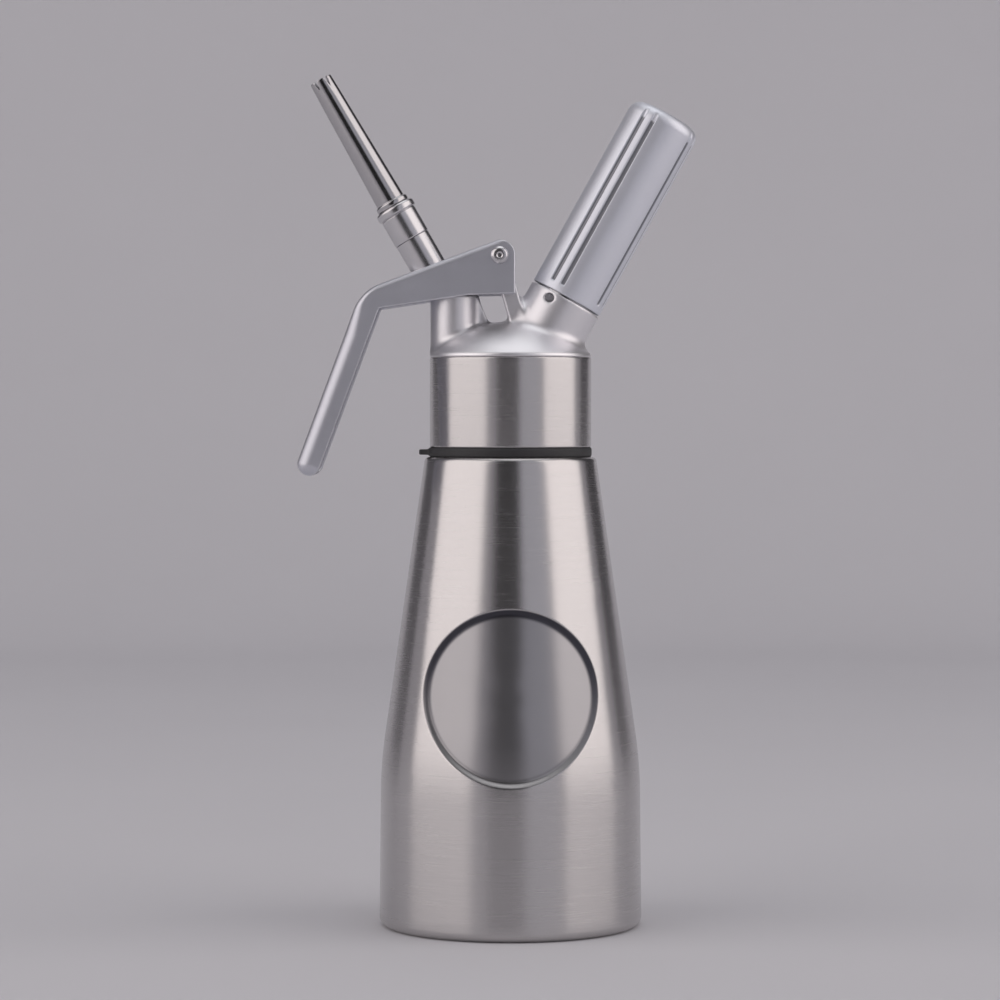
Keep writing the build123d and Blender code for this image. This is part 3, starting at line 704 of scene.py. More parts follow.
# %% Rubber finish
rubber = Recipe("seal rubber")
rubber_grain = rubber.noise(rubber.place(), 900.0, 3.0)
rubber_dust = rubber.noise(rubber.place(), 120.0, 4.0)
rubber.set(
    Base_Color=rubber.mix(rubber_dust * 0.6, (0.022, 0.022, 0.024), (0.06, 0.06, 0.062)),
    Roughness=0.5 + rubber_grain * 0.15,
)
rubber.bump(rubber_grain, 0.3, 0.00005)
finishes["seal_rubber"] = rubber.material
print("finish", rubber.material.name)

# %% [markdown]
# ## Dress the carried-over nodes
# Nodes whose CAD shape is already right keep it and only get their finish. The record says
# which finish slot each node belongs to.

# %% Give every CAD node its finish
for entry in frame["record"]["subparts"]:
    held = nodes[entry["node"]]
    if not held.material_slots:
        held.data.materials.append(finishes[entry["material_slot"]])
    for place in held.material_slots:
        place.material = finishes[entry["material_slot"]]

# %% [markdown]
# ## The bottle
# The bottle is one spun shell: a wide foot, a soft waist and a long taper to the shoulder. A
# round medallion is pressed into its front. A boolean would leave ragged shading round it, so
# the wall is a grid of rows and columns with a rectangle left open for the medallion.

# %% The bottle's profile
WAIST, NECK_TOP = 54.5, 175.5
BAND_LOW, BAND_HIGH = 44.0, 114.0
BAND_HALF_ANGLE = math.radians(62)
BAND_CELLS, BACK_CELLS = 40, 76
bottle_profile = rounded(
    [
        (0, 0),
        (29.5, 0, 0.4),
        (29.9, 1.0, 0.4),
        (34.1, 1.0, 0.4),
        (34.5, 0, 0.4),
        (43.98, 0, 3.0),
        (43.4, WAIST, 150.0),
        (28.6, SHOULDER, 1.8),
        (21.0, SHOULDER, 0.6),
        (21.0, NECK_TOP),
    ],
    8,
)
wall = np.array([(r, z) for r, z in bottle_profile if r > 28.0 and 1.5 < z < SHOULDER])


def wall_radius(z):
    """The wall's outer radius at a height."""
    return np.interp(z, wall[:, 1], wall[:, 0])


print("profile points", len(bottle_profile), "waist radius", round(float(wall_radius(WAIST)), 2))

# %% Lay out the bottle's grid
low_rows = [p for p in bottle_profile if p[1] < BAND_LOW]
high_rows = [p for p in bottle_profile if p[1] > BAND_HIGH]
low_rows += [(float(wall_radius(z)), z) for z in np.linspace(6, 40, 9)]
high_rows = [(float(wall_radius(z)), z) for z in np.linspace(118, 152, 9)] + high_rows
band_rows = [(None, z) for z in np.linspace(BAND_LOW, BAND_HIGH, BAND_CELLS + 1)]
rows = low_rows + band_rows + high_rows
band_start = len(low_rows)
band_end = band_start + BAND_CELLS
front_columns = np.linspace(-BAND_HALF_ANGLE, BAND_HALF_ANGLE, BAND_CELLS + 1)
back_columns = np.linspace(BAND_HALF_ANGLE, 2 * math.pi - BAND_HALF_ANGLE, BACK_CELLS + 1)
columns = np.concatenate([front_columns, back_columns[1:-1]])


def on_wall(angle, z, sink=0.0, radius=None):
    """A point on the wall, or sunk into it, or at a radius of its own."""
    r = float(wall_radius(z)) - sink if radius is None else radius
    return (r * math.sin(angle), -r * math.cos(angle), z)


bottle_verts, spot = [], {}
for row, (radius, z) in enumerate(rows):
    for column, angle in enumerate(columns):
        if band_start < row < band_end and 0 < column < BAND_CELLS:
            continue
        if radius != 0 or column == 0:
            bottle_verts.append(on_wall(angle, z, radius=radius))
        spot[row, column] = len(bottle_verts) - 1
bottle_faces = []
for row in range(len(rows) - 1):
    for column in range(len(columns)):
        beside = (column + 1) % len(columns)
        if band_start <= row < band_end and column < BAND_CELLS:
            continue
        corners = [(row, column), (row, beside), (row + 1, beside), (row + 1, column)]
        add_face(bottle_faces, [spot[corner] for corner in corners])
print("grid faces", len(bottle_faces))

# %% [markdown]
# ## The medallion
# Rings of points follow the medallion's circle, and those rings open out into the rectangle
# that the grid left open. The rings inside the circle are sunk into the wall, with a smooth
# step down at the rim. The bottle's inside comes from a Solidify modifier, which keeps the
# wall even behind the medallion too.

# %% Press the medallion into the grid
WALL_RADIUS_THERE = 41.0
edge_cells = [(band_start, c) for c in range(BAND_CELLS)]
edge_cells += [(band_start + r, BAND_CELLS) for r in range(BAND_CELLS)]
edge_cells += [(band_end, BAND_CELLS - c) for c in range(BAND_CELLS)]
edge_cells += [(band_end - r, 0) for r in range(BAND_CELLS)]
edge_angle = np.array([columns[c] for _, c in edge_cells])
edge_height = np.array([rows[r][1] for r, _ in edge_cells])
bearing = np.arctan2(edge_height - MEDALLION_HEIGHT, edge_angle * WALL_RADIUS_THERE)


def ring_at(radius):
    """Angles and heights of a circle seen from the front."""
    z = MEDALLION_HEIGHT + radius * np.sin(bearing)
    return np.arcsin(radius * np.cos(bearing) / wall_radius(z)), z


rim_low, rim_high = MEDALLION_RADIUS - 1.7, MEDALLION_RADIUS + 0.35
rings = []
for radius in (6.0, 12.0, 17.0, 21.0, 24.0, 26.0):
    rings.append((*ring_at(radius), MEDALLION_DEPTH))
for share in np.linspace(0, 1, 9):
    radius = rim_low + (rim_high - rim_low) * share
    rings.append((*ring_at(radius), MEDALLION_DEPTH * (1 - ease(share))))
outer_angle, outer_height = ring_at(MEDALLION_RADIUS + 0.6)
for share in (0.0, 0.04, 0.12, 0.25, 0.42, 0.6, 0.8):
    rings.append(
        (
            outer_angle + (edge_angle - outer_angle) * share,
            outer_height + (edge_height - outer_height) * share,
            0.0,
        )
    )
ring_index = []
for angles, heights, sink in rings:
    ring_index.append(list(range(len(bottle_verts), len(bottle_verts) + len(angles))))
    bottle_verts += [on_wall(a, z, sink) for a, z in zip(angles, heights)]
print("rings", len(rings), "of", len(edge_cells), "points")

# %% Join the rings and make the bottle
WALL_THICKNESS = 1.0
ring_index.append([spot[cell] for cell in edge_cells])
middle = len(bottle_verts)
bottle_verts.append(on_wall(0.0, MEDALLION_HEIGHT, MEDALLION_DEPTH))
around = len(edge_cells)
for inner, outer in zip(ring_index[:-1], ring_index[1:]):
    for k in range(around):
        n = (k + 1) % around
        bottle_faces.append([inner[k], outer[k], outer[n], inner[n]])
for k in range(around):
    bottle_faces.append([middle, ring_index[0][k], ring_index[0][(k + 1) % around]])

bottle = piece(
    "bottle_body",
    (bottle_verts, bottle_faces),
    "bottle",
    "bottle_steel",
    ["bottle_shell"],
    weighted=False,
)
thickened = bottle.modifiers.new("wall", "SOLIDIFY")
thickened.thickness = WALL_THICKNESS * MM
thickened.offset = -1
print("bottle is", round(max(v[2] for v in bottle_verts), 1), "mm tall")

# %% [markdown]
# ## The neck's thread
# Under the head the neck carries a two-start thread. It shows when the head is unscrewed. A
# thread is a ring whose radius rises and falls along a helix, so it can be turned like any
# other ring, with a function that moves each point.

# %% Turn the neck's thread
THREAD_LEAD = 7.5
THREAD_STARTS = 2
THREAD_ROOT, THREAD_DEPTH = 22.0, 0.78
THREAD_LOW, THREAD_TOP = 157.05, 174.6


def thread(angle, r, z):
    """Raise the crests, and let them fade out at both ends of the ring."""
    if r < THREAD_ROOT:
        return r, z
    phase = (z / THREAD_LEAD * THREAD_STARTS - angle / (2 * math.pi) * THREAD_STARTS) % 1.0
    crest = np.interp(phase, [0, 0.2, 0.36, 0.64, 0.8, 1], [0, 0, 1, 1, 0, 0])
    fade = ramp((z - 157.6) / 1.5) * ramp((174.0 - z) / 1.5)
    return THREAD_ROOT + THREAD_DEPTH * crest * fade, z


thread_profile = [(21.05, THREAD_LOW), (THREAD_ROOT, THREAD_LOW)]
thread_profile += [(THREAD_ROOT + 0.001, z) for z in np.linspace(157.3, 174.3, 70)]
thread_profile += [(THREAD_ROOT, THREAD_TOP), (21.05, THREAD_TOP)]
piece("neck_thread", turned(thread_profile, 120, thread), "bottle", "turned_steel", ["neck_ring"])

# %% [markdown]
# ## The head casting
# A shallow dome fills the skirt. The valve tower stands on the left, the lever's post rises in
# the middle with a short web towards the tower, and the boss for the charger leans to the
# right. All of them are fields, blended where the casting would have fillets, and the bores
# are taken out afterwards so that their edges stay crisp.

# %% Grow the head casting
DOME_RISE, DOME_TOP = 11.1, 202.3
DOME_RADIUS = (SKIRT_RADIUS**2 + DOME_RISE**2) / (2 * DOME_RISE)
TOWER_RADIUS, TOWER_TOP = 8.0, 211.0
EAR_RADIUS, POST_HALF_WIDTH = 4.6, 8.3
BOSS_RADIUS, BOSS_TOP = 12.6, 11.0
SOCKET_BORE, VALVE_BORE, CREAM_BORE, PIN_BORE = 23.1, 6.4, 2.8, 2.0
NIPPLE_BORE, GAS_BORE, POPPET_BORE = 7.05, 1.2, 3.9
CREAM_X, POPPET_X = TOWER_X + 3.3, 7.28


def head_field(x, y, z):
    core = rod(x, y, z, CORE_RADIUS, SKIRT_FOOT, 191.0, 0.3)
    ball = length(x, y, z - (DOME_TOP - DOME_RADIUS)) - DOME_RADIUS
    dome = round_max(rod(x, y, z, SKIRT_RADIUS, SKIRT_TOP, 203.0, 0.35), ball, 0.5)
    body = np.minimum(core, dome)
    tower = rod(x - TOWER_X, y, z, TOWER_RADIUS, 185.0, TOWER_TOP, 0.45)
    body = soft_min(body, tower, 2.2)
    web = polygon(x, z, [(-11.8, 210), (-10.8, 210), (-4.8, 196), (-11.8, 196)])
    body = soft_min(body, round_max(web, np.abs(y) - 3.0, 0.5), 1.8)
    post = polygon(x, z, [(2.0, 194), (7.2, 194), (-0.6, 224), (-6.6, 224)])
    pin_distance = length(x - PIVOT_X, z - PIVOT_Z)
    post = soft_min(post, pin_distance - EAR_RADIUS, 1.5)
    post = round_max(post, np.abs(y) - POST_HALF_WIDTH, 0.7)
    body = soft_min(body, post, 2.0)
    lx, ly, lz = local(x, y, z, INLET)
    boss = rod(lx, ly, lz, BOSS_RADIUS, -12.0, BOSS_TOP, 0.5)
    body = soft_min(body, boss, 3.0)
    body = np.maximum(body, SKIRT_FOOT - z)
    # Below the skirt's top the casting stays inside the skirt, and above it the tower's
    # fillet stays flush with it.
    beside = length(x, y)
    flush = np.where(x < 0, beside - SKIRT_RADIUS, -9.0)
    above_skirt = np.maximum(SKIRT_TOP - z, flush)
    body = np.maximum(body, np.minimum(beside - CORE_RADIUS, above_skirt))
    bores = [
        rod(x, y, z, SOCKET_BORE, 150.0, 179.0, 0.2),
        rod(x - TOWER_X, y, z, VALVE_BORE, 184.5, 215.0, 0.2),
        rod(x - CREAM_X, y, z, CREAM_BORE, SKIRT_FOOT, 190.0, 0.1),
        pin_distance - PIN_BORE,
        rod(lx, ly, lz, NIPPLE_BORE, -1.0, 20.0, 0.1),
        rod(lx, ly, lz, GAS_BORE, -12.0, 0.0, 0.1),
        rod(x - POPPET_X, y, z, POPPET_BORE, SKIRT_FOOT, 187.5, 0.1),
    ]
    for bore in bores:
        body = round_max(body, -bore, 0.25)
    dimple = np.maximum(length(lx + 5.0, lz - 8.5) - 1.5, ly + 7.6)
    return round_max(body, -dimple, 0.5)


head_shape = grown(head_field, (-28.2, -28.2, 159.4), (30.6, 28.2, 230.0), 0.62)
piece("head_cast", head_shape, "head", "head_alloy", ["head_casting"])

# %% [markdown]
# ## The skirt and its gasket
# The skirt is a plain spun sleeve with softened ends. The rubber gasket squeezes out a little
# under it and has a tab under the lever, to pull it out for washing.

# %% Turn the skirt
SKIRT_BORE = 26.05
skirt_profile = rounded(
    [
        (SKIRT_BORE, 170),
        (SKIRT_BORE, SKIRT_FOOT, 0.2),
        (SKIRT_RADIUS, SKIRT_FOOT, 0.45),
        (SKIRT_RADIUS, SKIRT_TOP, 0.6),
        (SKIRT_BORE, SKIRT_TOP, 0.15),
        (SKIRT_BORE, 171),
    ]
)
outer_rows = [(SKIRT_RADIUS, z) for z in np.linspace(162, 188.5, 8)]
skirt_profile = with_rows(skirt_profile, outer_rows, lambda r, z: z > 189)
piece("skirt_sleeve", turned(skirt_profile, 144), "head", "bottle_steel", ["head_skirt"])

# %% Grow the gasket
GASKET_BORE, GASKET_RADIUS = 23.15, 27.2
TAB_REACH, TAB_HALF_WIDTH = 26.6, 4.0


def gasket_field(x, y, z):
    off_middle = np.abs(z - 158.6)
    disc = round_max(length(x, y) - GASKET_RADIUS, off_middle - 1.6, 0.7)
    tab_end = round_max(length(x + TAB_REACH, y) - TAB_HALF_WIDTH, x + 20.0, 0.1)
    tab_root = np.maximum(np.abs(y) - TAB_HALF_WIDTH, np.maximum(x + 22.0, -TAB_REACH - x))
    tab = round_max(np.minimum(tab_end, tab_root), off_middle - 0.9, 0.4)
    return round_max(soft_min(disc, tab, 1.0), GASKET_BORE - length(x, y), 0.2)


gasket_shape = grown(gasket_field, (-31.6, -28.4, 156.4), (28.4, 28.4, 160.8), 0.4)
piece("head_seal", gasket_shape, "gasket", "seal_rubber", ["head_gasket"])

# %% [markdown]
# ## The lever
# The lever is pressed from one sheet: a web across the top, a cheek down each side and a bent
# handle. Its side view is worked out first, from the slope of the arm and the lean of the
# handle, so that both stay straight and meet in one bend.

# %% The lever's side view
ARM_LENGTH, HANDLE_LENGTH, HANDLE_DEPTH = 47.5, 60.0, 8.0
TIP_RADIUS = HANDLE_DEPTH / 2
ARM_DIRECTION = np.array([-math.cos(ARM_SLOPE), -math.sin(ARM_SLOPE)])
ARM_NORMAL = np.array([-math.sin(ARM_SLOPE), math.cos(ARM_SLOPE)])
HANDLE_DIRECTION = np.array([-math.sin(HANDLE_LEAN), -math.cos(HANDLE_LEAN)])
HANDLE_NORMAL = np.array([-math.cos(HANDLE_LEAN), math.sin(HANDLE_LEAN)])
LUG_RADIUS = 5.2
SHEET = 1.3
pivot = np.array(PIVOT)
arm_foot = pivot + ARM_NORMAL * LUG_RADIUS
bend = arm_foot + ARM_DIRECTION * ARM_LENGTH
tip_outer = bend + HANDLE_DIRECTION * HANDLE_LENGTH
handle_inner = bend - HANDLE_NORMAL * HANDLE_DEPTH
tip_inner = tip_outer - HANDLE_NORMAL * HANDLE_DEPTH
cheek_low = pivot - (20.4, 14.7)
cheek_mid = pivot - (10.4, 13.2)
low_run = cheek_low - cheek_mid
to_handle = np.cross(handle_inner - cheek_low, HANDLE_DIRECTION)
inner_bend = cheek_low + low_run * (to_handle / np.cross(low_run, HANDLE_DIRECTION))
lug_right = PIVOT_X + LUG_RADIUS
side_view = [
    arm_foot,
    bend,
    tip_outer,
    tip_inner,
    inner_bend,
    cheek_low,
    cheek_mid,
    (lug_right, PIVOT_Z - 12.8),
    (lug_right, PIVOT_Z),
    PIVOT,
]
tip_middle = (tip_outer + tip_inner) / 2
print("bend at", np.round(bend, 1), "tip at", np.round(tip_middle, 1))

# %% [markdown]
# ## The lever's pressing
# The bends of the pressing are round outside and tighter inside. As a field that is a rounded
# block with a smaller rounded block taken out, trimmed to the side view. A window lets the
# post's ear stand between the cheeks, and a slot lets the outlet through.

# %% Grow the lever
HALF_WIDTH = 10.0
WINDOW_END, WINDOW_HALF_WIDTH, WINDOW_FLOOR = 3.45, 8.7, 215.0
SLOT_FLOOR = 208.0
LEVER_PIN_BORE = 2.06
SLOT_X, SLOT_RADIUS = TOWER_X - 8.55, 6.2
SLOT_HALF_LENGTH, SLOT_HALF_WIDTH = 7.65, 6.6


def past(x, z, start, direction):
    """How far a point lies past another, along a direction of the side view."""
    return (x - start[0]) * direction[0] + (z - start[1]) * direction[1]


def lever_field(x, y, z):
    above_arm = past(x, z, bend, ARM_NORMAL)
    outside_handle = past(x, z, bend, HANDLE_NORMAL)
    down_handle = past(x, z, bend, HANDLE_DIRECTION)
    past_end = down_handle - (HANDLE_LENGTH + TIP_RADIUS)
    sheet_side = round_max(round_max(above_arm, outside_handle, 5.0), past_end, TIP_RADIUS)
    bend_radius = 2.0 + 2.5 * np.clip(down_handle / 15.0, 0, 1)
    cheek_side = np.abs(y) - HALF_WIDTH
    block = round_max(sheet_side, cheek_side, bend_radius)
    hollow = round_max(sheet_side + SHEET, cheek_side + SHEET, bend_radius - SHEET + 0.1)
    shell = round_max(block, -hollow, 0.2)
    pin_distance = length(x - PIVOT_X, z - PIVOT_Z)
    outline = np.minimum(polygon(x, z, side_view), pin_distance - LUG_RADIUS)
    tip = length(x - tip_middle[0], z - tip_middle[1]) - TIP_RADIUS
    lever = round_max(shell, np.minimum(outline, tip), 0.35)
    window = np.maximum(past(x, z, PIVOT, ARM_DIRECTION) - WINDOW_END, WINDOW_FLOOR - z)
    window = np.maximum(window, np.abs(y) - WINDOW_HALF_WIDTH)
    lever = round_max(lever, -window, 0.3)
    slot_x = np.abs(x - SLOT_X) - (SLOT_HALF_LENGTH - SLOT_RADIUS)
    slot_y = np.abs(y) - (SLOT_HALF_WIDTH - SLOT_RADIUS)
    slot = length(np.maximum(slot_x, 0), np.maximum(slot_y, 0))
    slot += np.minimum(np.maximum(slot_x, slot_y), 0) - SLOT_RADIUS
    lever = round_max(lever, -np.maximum(slot, SLOT_FLOOR - z), 0.3)
    return round_max(lever, LEVER_PIN_BORE - pin_distance, 0.2)


lever_shape = grown(lever_field, (-72.4, -10.8, 149.6), (2.6, 10.8, 230.4), 0.4)
piece("squeeze_lever", lever_shape, "lever", "lever_steel", ["lever"])

# %% [markdown]
# ## The pivot pin
# The pin passes through both cheeks and the post. Its front end is a domed head, which is
# headed cold, so a shallow dimple from the tool stays in its middle.

# %% Turn the pivot pin
pin_profile = rounded(
    [
        (0.0, 0.25),
        (0.7, 0.25, 0.2),
        (1.1, 0.0, 0.3),
        (2.3, 0.12, 1.2),
        (3.0, 1.0, 0.4),
        (3.0, 1.4, 0.1),
        (1.975, 1.4),
        (1.975, 21.52, 0.05),
        (1.4, 21.52),
        (1.4, 22.18),
        (1.975, 22.18, 0.05),
        (1.975, 23.38, 0.35),
        (0.0, 23.38),
    ],
    4,
)
lie_down = Matrix.Rotation(math.radians(-90), 4, "X")
across = Matrix.Translation((PIVOT_X, -11.46, PIVOT_Z)) @ lie_down
pin_shape = turned(pin_profile, 48, closed=False)
piece("pivot_rivet", pin_shape, "head", "turned_steel", ["pivot_pin"], place=across)

# %% [markdown]
# ## The charger holder
# The holder is a turned cup that the hand screws on. Pairs of narrow flutes give grip. The
# flutes are cut by pulling the outside in wherever the angle falls in one of them, so the
# mesh has a column for every degree, and close rows where the flutes run out.

# %% Turn the holder
HOLDER_RADIUS = 12.5
FLUTE_DEPTH = 0.6
FLUTE_START, FLUTE_RUN_OUT = 14.0, 0.8
FLUTES = [math.radians(a) for q in range(4) for a in (-34.0 + 90 * q, -16.0 + 90 * q)]
FLUTE_HALF_WIDTH = 0.7 / HOLDER_RADIUS


def flute_depth(angle):
    """How deep the grip is cut at this angle, with rounded lips."""
    best = min(abs((angle - f + math.pi) % (2 * math.pi) - math.pi) for f in FLUTES)
    return FLUTE_DEPTH * ease(ramp((1.2 - best / FLUTE_HALF_WIDTH) / 0.45))


def fluted(angle, r, z):
    """Pull the outside in where a flute runs."""
    if r < 12.0:
        return r, z
    start = ramp((z - FLUTE_START) / FLUTE_RUN_OUT)
    return min(r, HOLDER_RADIUS - flute_depth(angle) * start), z


holder_corners = [
    (9.3, 40.0),
    (9.3, 22.4, 0.2),
    (10.3, 22.0),
    (10.3, 11.5, 0.3),
    (HOLDER_RADIUS, 11.5, 0.5),
    (HOLDER_RADIUS, 81.1, 4.15),
    (0.0, 81.1),
]
grip_heights = (13.0, 13.9, 14.1, 14.3, 14.5, 14.7, 14.9, 16.0, 20.0, 30.0, 45.0, 60.0, 72.0)
grip_rows = [(HOLDER_RADIUS, z) for z in grip_heights]
holder_profile = rounded(holder_corners, 8)
holder_profile = with_rows(holder_profile, grip_rows, lambda r, z: r > 12.49 and z > 20)
cup = [(9.3 * math.sin(a), 69.2 + 9.3 * math.cos(a)) for a in np.linspace(0, math.pi / 2, 9)]
holder_profile += [(max(r, 0.0), z) for r, z in cup]
holder_shape = turned(holder_profile, 360, fluted)
piece("holder_sleeve", holder_shape, "holder", "holder_alloy", ["charger_holder"], place=INLET)

# %% [markdown]
# ## The outlet's nut and the tip
# A round nut joins the tip to the elbow. It has a bright bead at its upper end. The tip is a
# long drawn tube whose mouth is cut into a star: the mouth's rim simply dips between the
# points, so each point of the profile near the end is pulled back by its angle.

# %% Turn the coupling nut
nut_profile = rounded(
    [
        (4.55, 8.05),
        (6.2, 8.05, 0.5),
        (6.2, 17.3, 0.4),
        (5.9, 17.6, 0.1),
        (6.8, 17.7, 0.7),
        (6.8, 20.45, 1.0),
        (3.6, 20.45, 0.2),
        (3.6, 27.05, 0.3),
        (2.2, 27.05, 0.2),
        (2.2, 13.55),
        (4.55, 13.55),
    ]
)
nut_shape = turned(nut_profile, 72)
piece("coupling_nut", nut_shape, "valve", "turned_steel", ["nozzle_coupling"], place=OUTLET)

# %% Turn the star tip
TIP_START, TIP_END = 20.5, 69.3
STAR_POINTS, STAR_DEPTH, STAR_REACH = 6, 3.5, 9.0


def star(angle, r, z):
    """Pull the mouth back between the points."""
    near = ramp((z - (TIP_END - STAR_REACH)) / STAR_REACH)
    wave = (angle * STAR_POINTS / (2 * math.pi)) % 1.0
    dip = ramp(1.0 - abs(wave - 0.5) / 0.22)
    return r, z - STAR_DEPTH * dip * near * near


tip_corners = [
    (3.9, TIP_START),
    (5.7, TIP_START, 0.5),
    (5.7, TIP_START + 1.8, 0.6),
    (5.0, TIP_START + 2.0, 0.2),
    (3.9, TIP_END, 0.25),
    (2.8, TIP_END, 0.15),
    (3.1, 27.9),
    (3.9, 27.9),
]
outer_wall = [(5.0 - 1.1 * (z - 22.5) / 46.8, z) for z in np.linspace(25, 68.5, 24)]
inner_wall = [(3.1 - 0.3 * (z - 27.9) / 41.4, z) for z in np.linspace(68.5, 32, 20)]
tip_profile = with_rows(rounded(tip_corners), outer_wall, lambda r, z: z > 60)
tip_profile = with_rows(tip_profile, inner_wall, lambda r, z: r < 3.5 and z < 30)
tip_shape = turned(tip_profile, 144, star)
piece("star_tip", tip_shape, "tip", "tip_steel", ["decorating_tip"], place=OUTLET)

# %% [markdown]
# ## The springs
# One spring shuts the outlet valve and lifts the lever, and a small one shuts the gas inlet.
# Both are wound wire whose last turns lie flat. A spring can't simply ride on one body, as one
# end moves and the other doesn't, but here each hangs on the head.

# %% Wind the springs
CLOSED_TURN = 0.75


def wound_spring(name, node, radius, wire, turns):
    """Wind a spring into its node's box and hang it on the head."""
    low, high = (np.array(corner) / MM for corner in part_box(node))
    middle = (low + high) / 2
    run = high[2] - low[2] - wire
    flat = CLOSED_TURN * wire * 1.05
    steps, sides = int(turns * 28), 12
    turn = np.linspace(0, turns, steps + 1)
    bends = [0, CLOSED_TURN, turns - CLOSED_TURN, turns]
    height = low[2] + wire / 2 + np.interp(turn, bends, [0, flat, run - flat, run])
    verts = []
    for share, z in zip(turn, height):
        a = 2 * math.pi * share
        for side in range(sides):
            b = 2 * math.pi * side / sides
            r = radius + wire / 2 * math.cos(b)
            x, y = middle[0] + r * math.cos(a), middle[1] + r * math.sin(a)
            verts.append((x, y, z + wire / 2 * math.sin(b)))
    faces = []
    for step in range(steps):
        for side in range(sides):
            a, b = step * sides + side, step * sides + (side + 1) % sides
            faces.append([a, a + sides, b + sides, b])
    faces += [list(range(sides)), list(range(steps * sides, (steps + 1) * sides))[::-1]]
    made = piece(name, (verts, faces), "head", "spring_steel", [node])
    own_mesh(made)


wound_spring("return_spring", "valve_spring", 4.1, 0.9, 3.5)
wound_spring("inlet_coil", "inlet_spring", 2.2, 0.5, 4.5)

# %% [markdown]
# ## The stage
# The floor is one wide bowl of pale paper that curves up into a wall on every side, so no
# edge or corner shows behind the object, wherever it is seen from. The back is pulled in
# closer, which keeps it as bright as the floor.

# %% Floor and backdrop
FLOOR_RADIUS, CURVE_RADIUS, WALL_TOP = 1.9, 0.8, 3.4
BACK_SHARE = 0.67


def stage_paper(name, low, high):
    """A matt paper or cloth between two shades."""
    finish = Recipe(name)
    paper = finish.noise(finish.place(), 3.0, 2.0)
    finish.set(Base_Color=finish.mix(paper, low, high), Roughness=0.9)
    return finish.material


def stage_piece(name, verts, faces, material):
    """A part of the studio: it is drawn, but it isn't a piece of the dispenser."""
    mesh = bpy.data.meshes.new(name)
    mesh.from_pydata(verts, [], faces)
    for face in mesh.polygons:
        face.use_smooth = True
    made = bpy.data.objects.new(name, mesh)
    bpy.context.scene.collection.objects.link(made)
    mesh.materials.append(material)
    return made


pale_paper = stage_paper("pale paper", (0.62, 0.615, 0.645), (0.66, 0.655, 0.685))
bowl_profile = [(0.0, 0.0), (0.4, 0.0), (0.9, 0.0), (1.4, 0.0), (FLOOR_RADIUS, 0.0)]
for a in np.linspace(0.1, math.pi / 2, 12):
    out, up = CURVE_RADIUS * math.sin(a), CURVE_RADIUS * (1 - math.cos(a))
    bowl_profile.append((FLOOR_RADIUS + out, up))
bowl_profile.append((FLOOR_RADIUS + CURVE_RADIUS, WALL_TOP))
bowl_verts, bowl_faces = turned(bowl_profile, 96, closed=False)
bowl_verts = [(x, y * (BACK_SHARE if y > 0 else 1.0), z) for x, y, z in bowl_verts]
stage_piece("paper_bowl", bowl_verts, bowl_faces, pale_paper)
print("stage rows", len(bowl_profile))

# %% [markdown]
# ## Soft boxes, flags and the room
# Steel shows what stands round it. Two tall soft boxes at the sides make the bright bands, a
# dim one between them makes the grey step beside the dark band, and one lights the top. Cloth
# flags make the dark bands. Only reflections see the flags, so they put no shadow on the
# paper. The room adds an even fill, so the level stays plain.

# %% Soft boxes and flags on a circle
BOX_DISTANCE, BOX_HEIGHT = 1.7, 2.0
FLAG_DISTANCE, FLAG_HEIGHT = 1.8, 2.2


def from_front(bearing_deg, distance):
    """A place on a circle. Bearing 0 is the front, and it grows to the right."""
    turn = math.radians(bearing_deg)
    return distance * math.sin(turn), -distance * math.cos(turn)


def soft_box(name, place, aim, width, height, brightness, tint=(1.0, 1.0, 1.0)):
    """A soft box. At brightness 1 it looks white in a perfect mirror."""
    data = bpy.data.lights.new(name, "AREA")
    data.shape = "RECTANGLE"
    data.size, data.size_y = width, height
    data.energy = brightness * math.pi * width * height
    data.color = tint
    lamp = bpy.data.objects.new(name, data)
    lamp.location = place
    lamp.rotation_euler = (Vector(aim) - Vector(place)).to_track_quat("-Z", "Y").to_euler()
    lamp.visible_camera = False
    bpy.context.scene.collection.objects.link(lamp)


def box_at(name, bearing_deg, width, brightness, tint):
    """An upright soft box that stands on the floor and leans a little towards the object."""
    place = (*from_front(bearing_deg, BOX_DISTANCE), BOX_HEIGHT / 2)
    soft_box(name, place, (0, 0, 0.5), width, BOX_HEIGHT, brightness, tint)


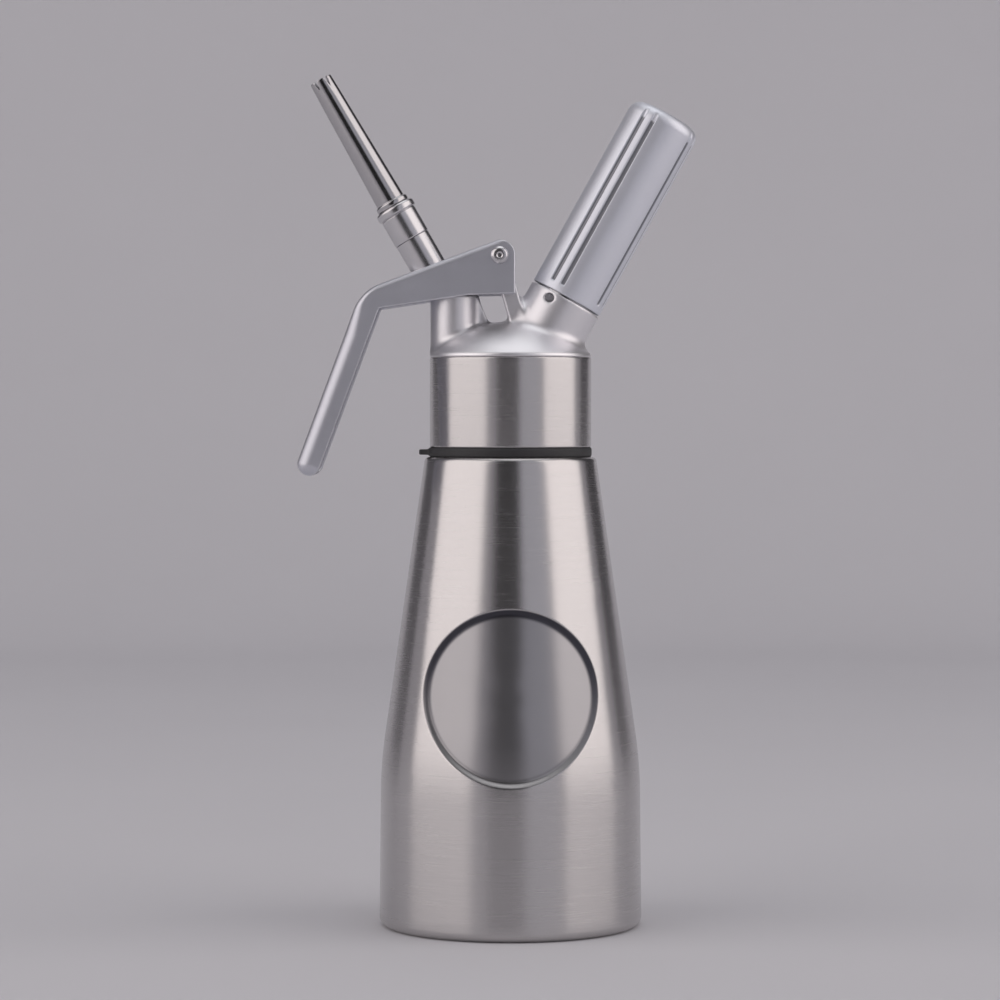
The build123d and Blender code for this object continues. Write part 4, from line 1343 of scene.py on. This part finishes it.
def flag_at(name, bearing_deg, width, low, high):
    """An upright cloth flag between two shades, seen by reflections only."""
    turn = math.radians(bearing_deg)
    middle = np.array([*from_front(bearing_deg, FLAG_DISTANCE), 0.0])
    along = np.array([math.cos(turn), math.sin(turn), 0.0]) * width / 2
    up = np.array([0.0, 0.0, FLAG_HEIGHT])
    verts = [middle - along, middle + along, middle + along + up, middle - along + up]
    cloth = stage_paper(name + " cloth", low, high)
    flag = stage_piece(name, [tuple(v) for v in verts], [[0, 1, 2, 3]], cloth)
    flag.visible_camera = flag.visible_diffuse = flag.visible_shadow = False


print("a box on the right stands at", from_front(90, BOX_DISTANCE)[0], "m")

# %% Light the object and the room
WARM = (1.0, 0.93, 0.89)
COOL = (0.86, 0.9, 1.0)
box_at("left_box", -66, 2.35, 1.02, WARM)
box_at("right_box", 76, 2.0, 1.06, WARM)
box_at("step_box", 28, 1.0, 0.2, COOL)
soft_box("top_box", (0.1, 0.1, 2.0), (0, 0, 0), 1.4, 1.4, 0.85)
flag_at("front_flag", -4, 1.0, (0.01, 0.01, 0.01), (0.02, 0.02, 0.02))
flag_at("right_flag", 140, 1.5, (0.05, 0.05, 0.055), (0.07, 0.07, 0.075))
flag_at("left_flag", -138, 1.4, (0.1, 0.1, 0.11), (0.14, 0.14, 0.15))
room = Recipe("room", world=True)
room.set(Color=(0.34, 0.34, 0.355))
bpy.context.scene.world = room.material

# %% [markdown]
# ## The camera
# The camera stands a little over a metre away and slightly below the middle of the head, so
# the base shows as a shallow curve and the head is seen straight on.

# %% Place the camera
SENSOR_WIDTH = 36.0
CAMERA_DISTANCE, CAMERA_HEIGHT = 1.14, 0.172
AIM_X, AIM_HEIGHT = -0.0035, 0.1425
SEEN_WIDTH = 0.335
lens = bpy.data.cameras.new("camera")
lens.sensor_width = SENSOR_WIDTH
lens.lens = SENSOR_WIDTH * CAMERA_DISTANCE / SEEN_WIDTH
camera = bpy.data.objects.new("camera", lens)
camera.location = (AIM_X, -CAMERA_DISTANCE, CAMERA_HEIGHT)
looking = Vector((AIM_X, 0, AIM_HEIGHT)) - camera.location
camera.rotation_euler = looking.to_track_quat("-Z", "Y").to_euler()
bpy.context.scene.collection.objects.link(camera)
bpy.context.scene.camera = camera
bpy.context.scene.view_settings.view_transform = "Standard"
print("lens", round(lens.lens, 1), "mm")
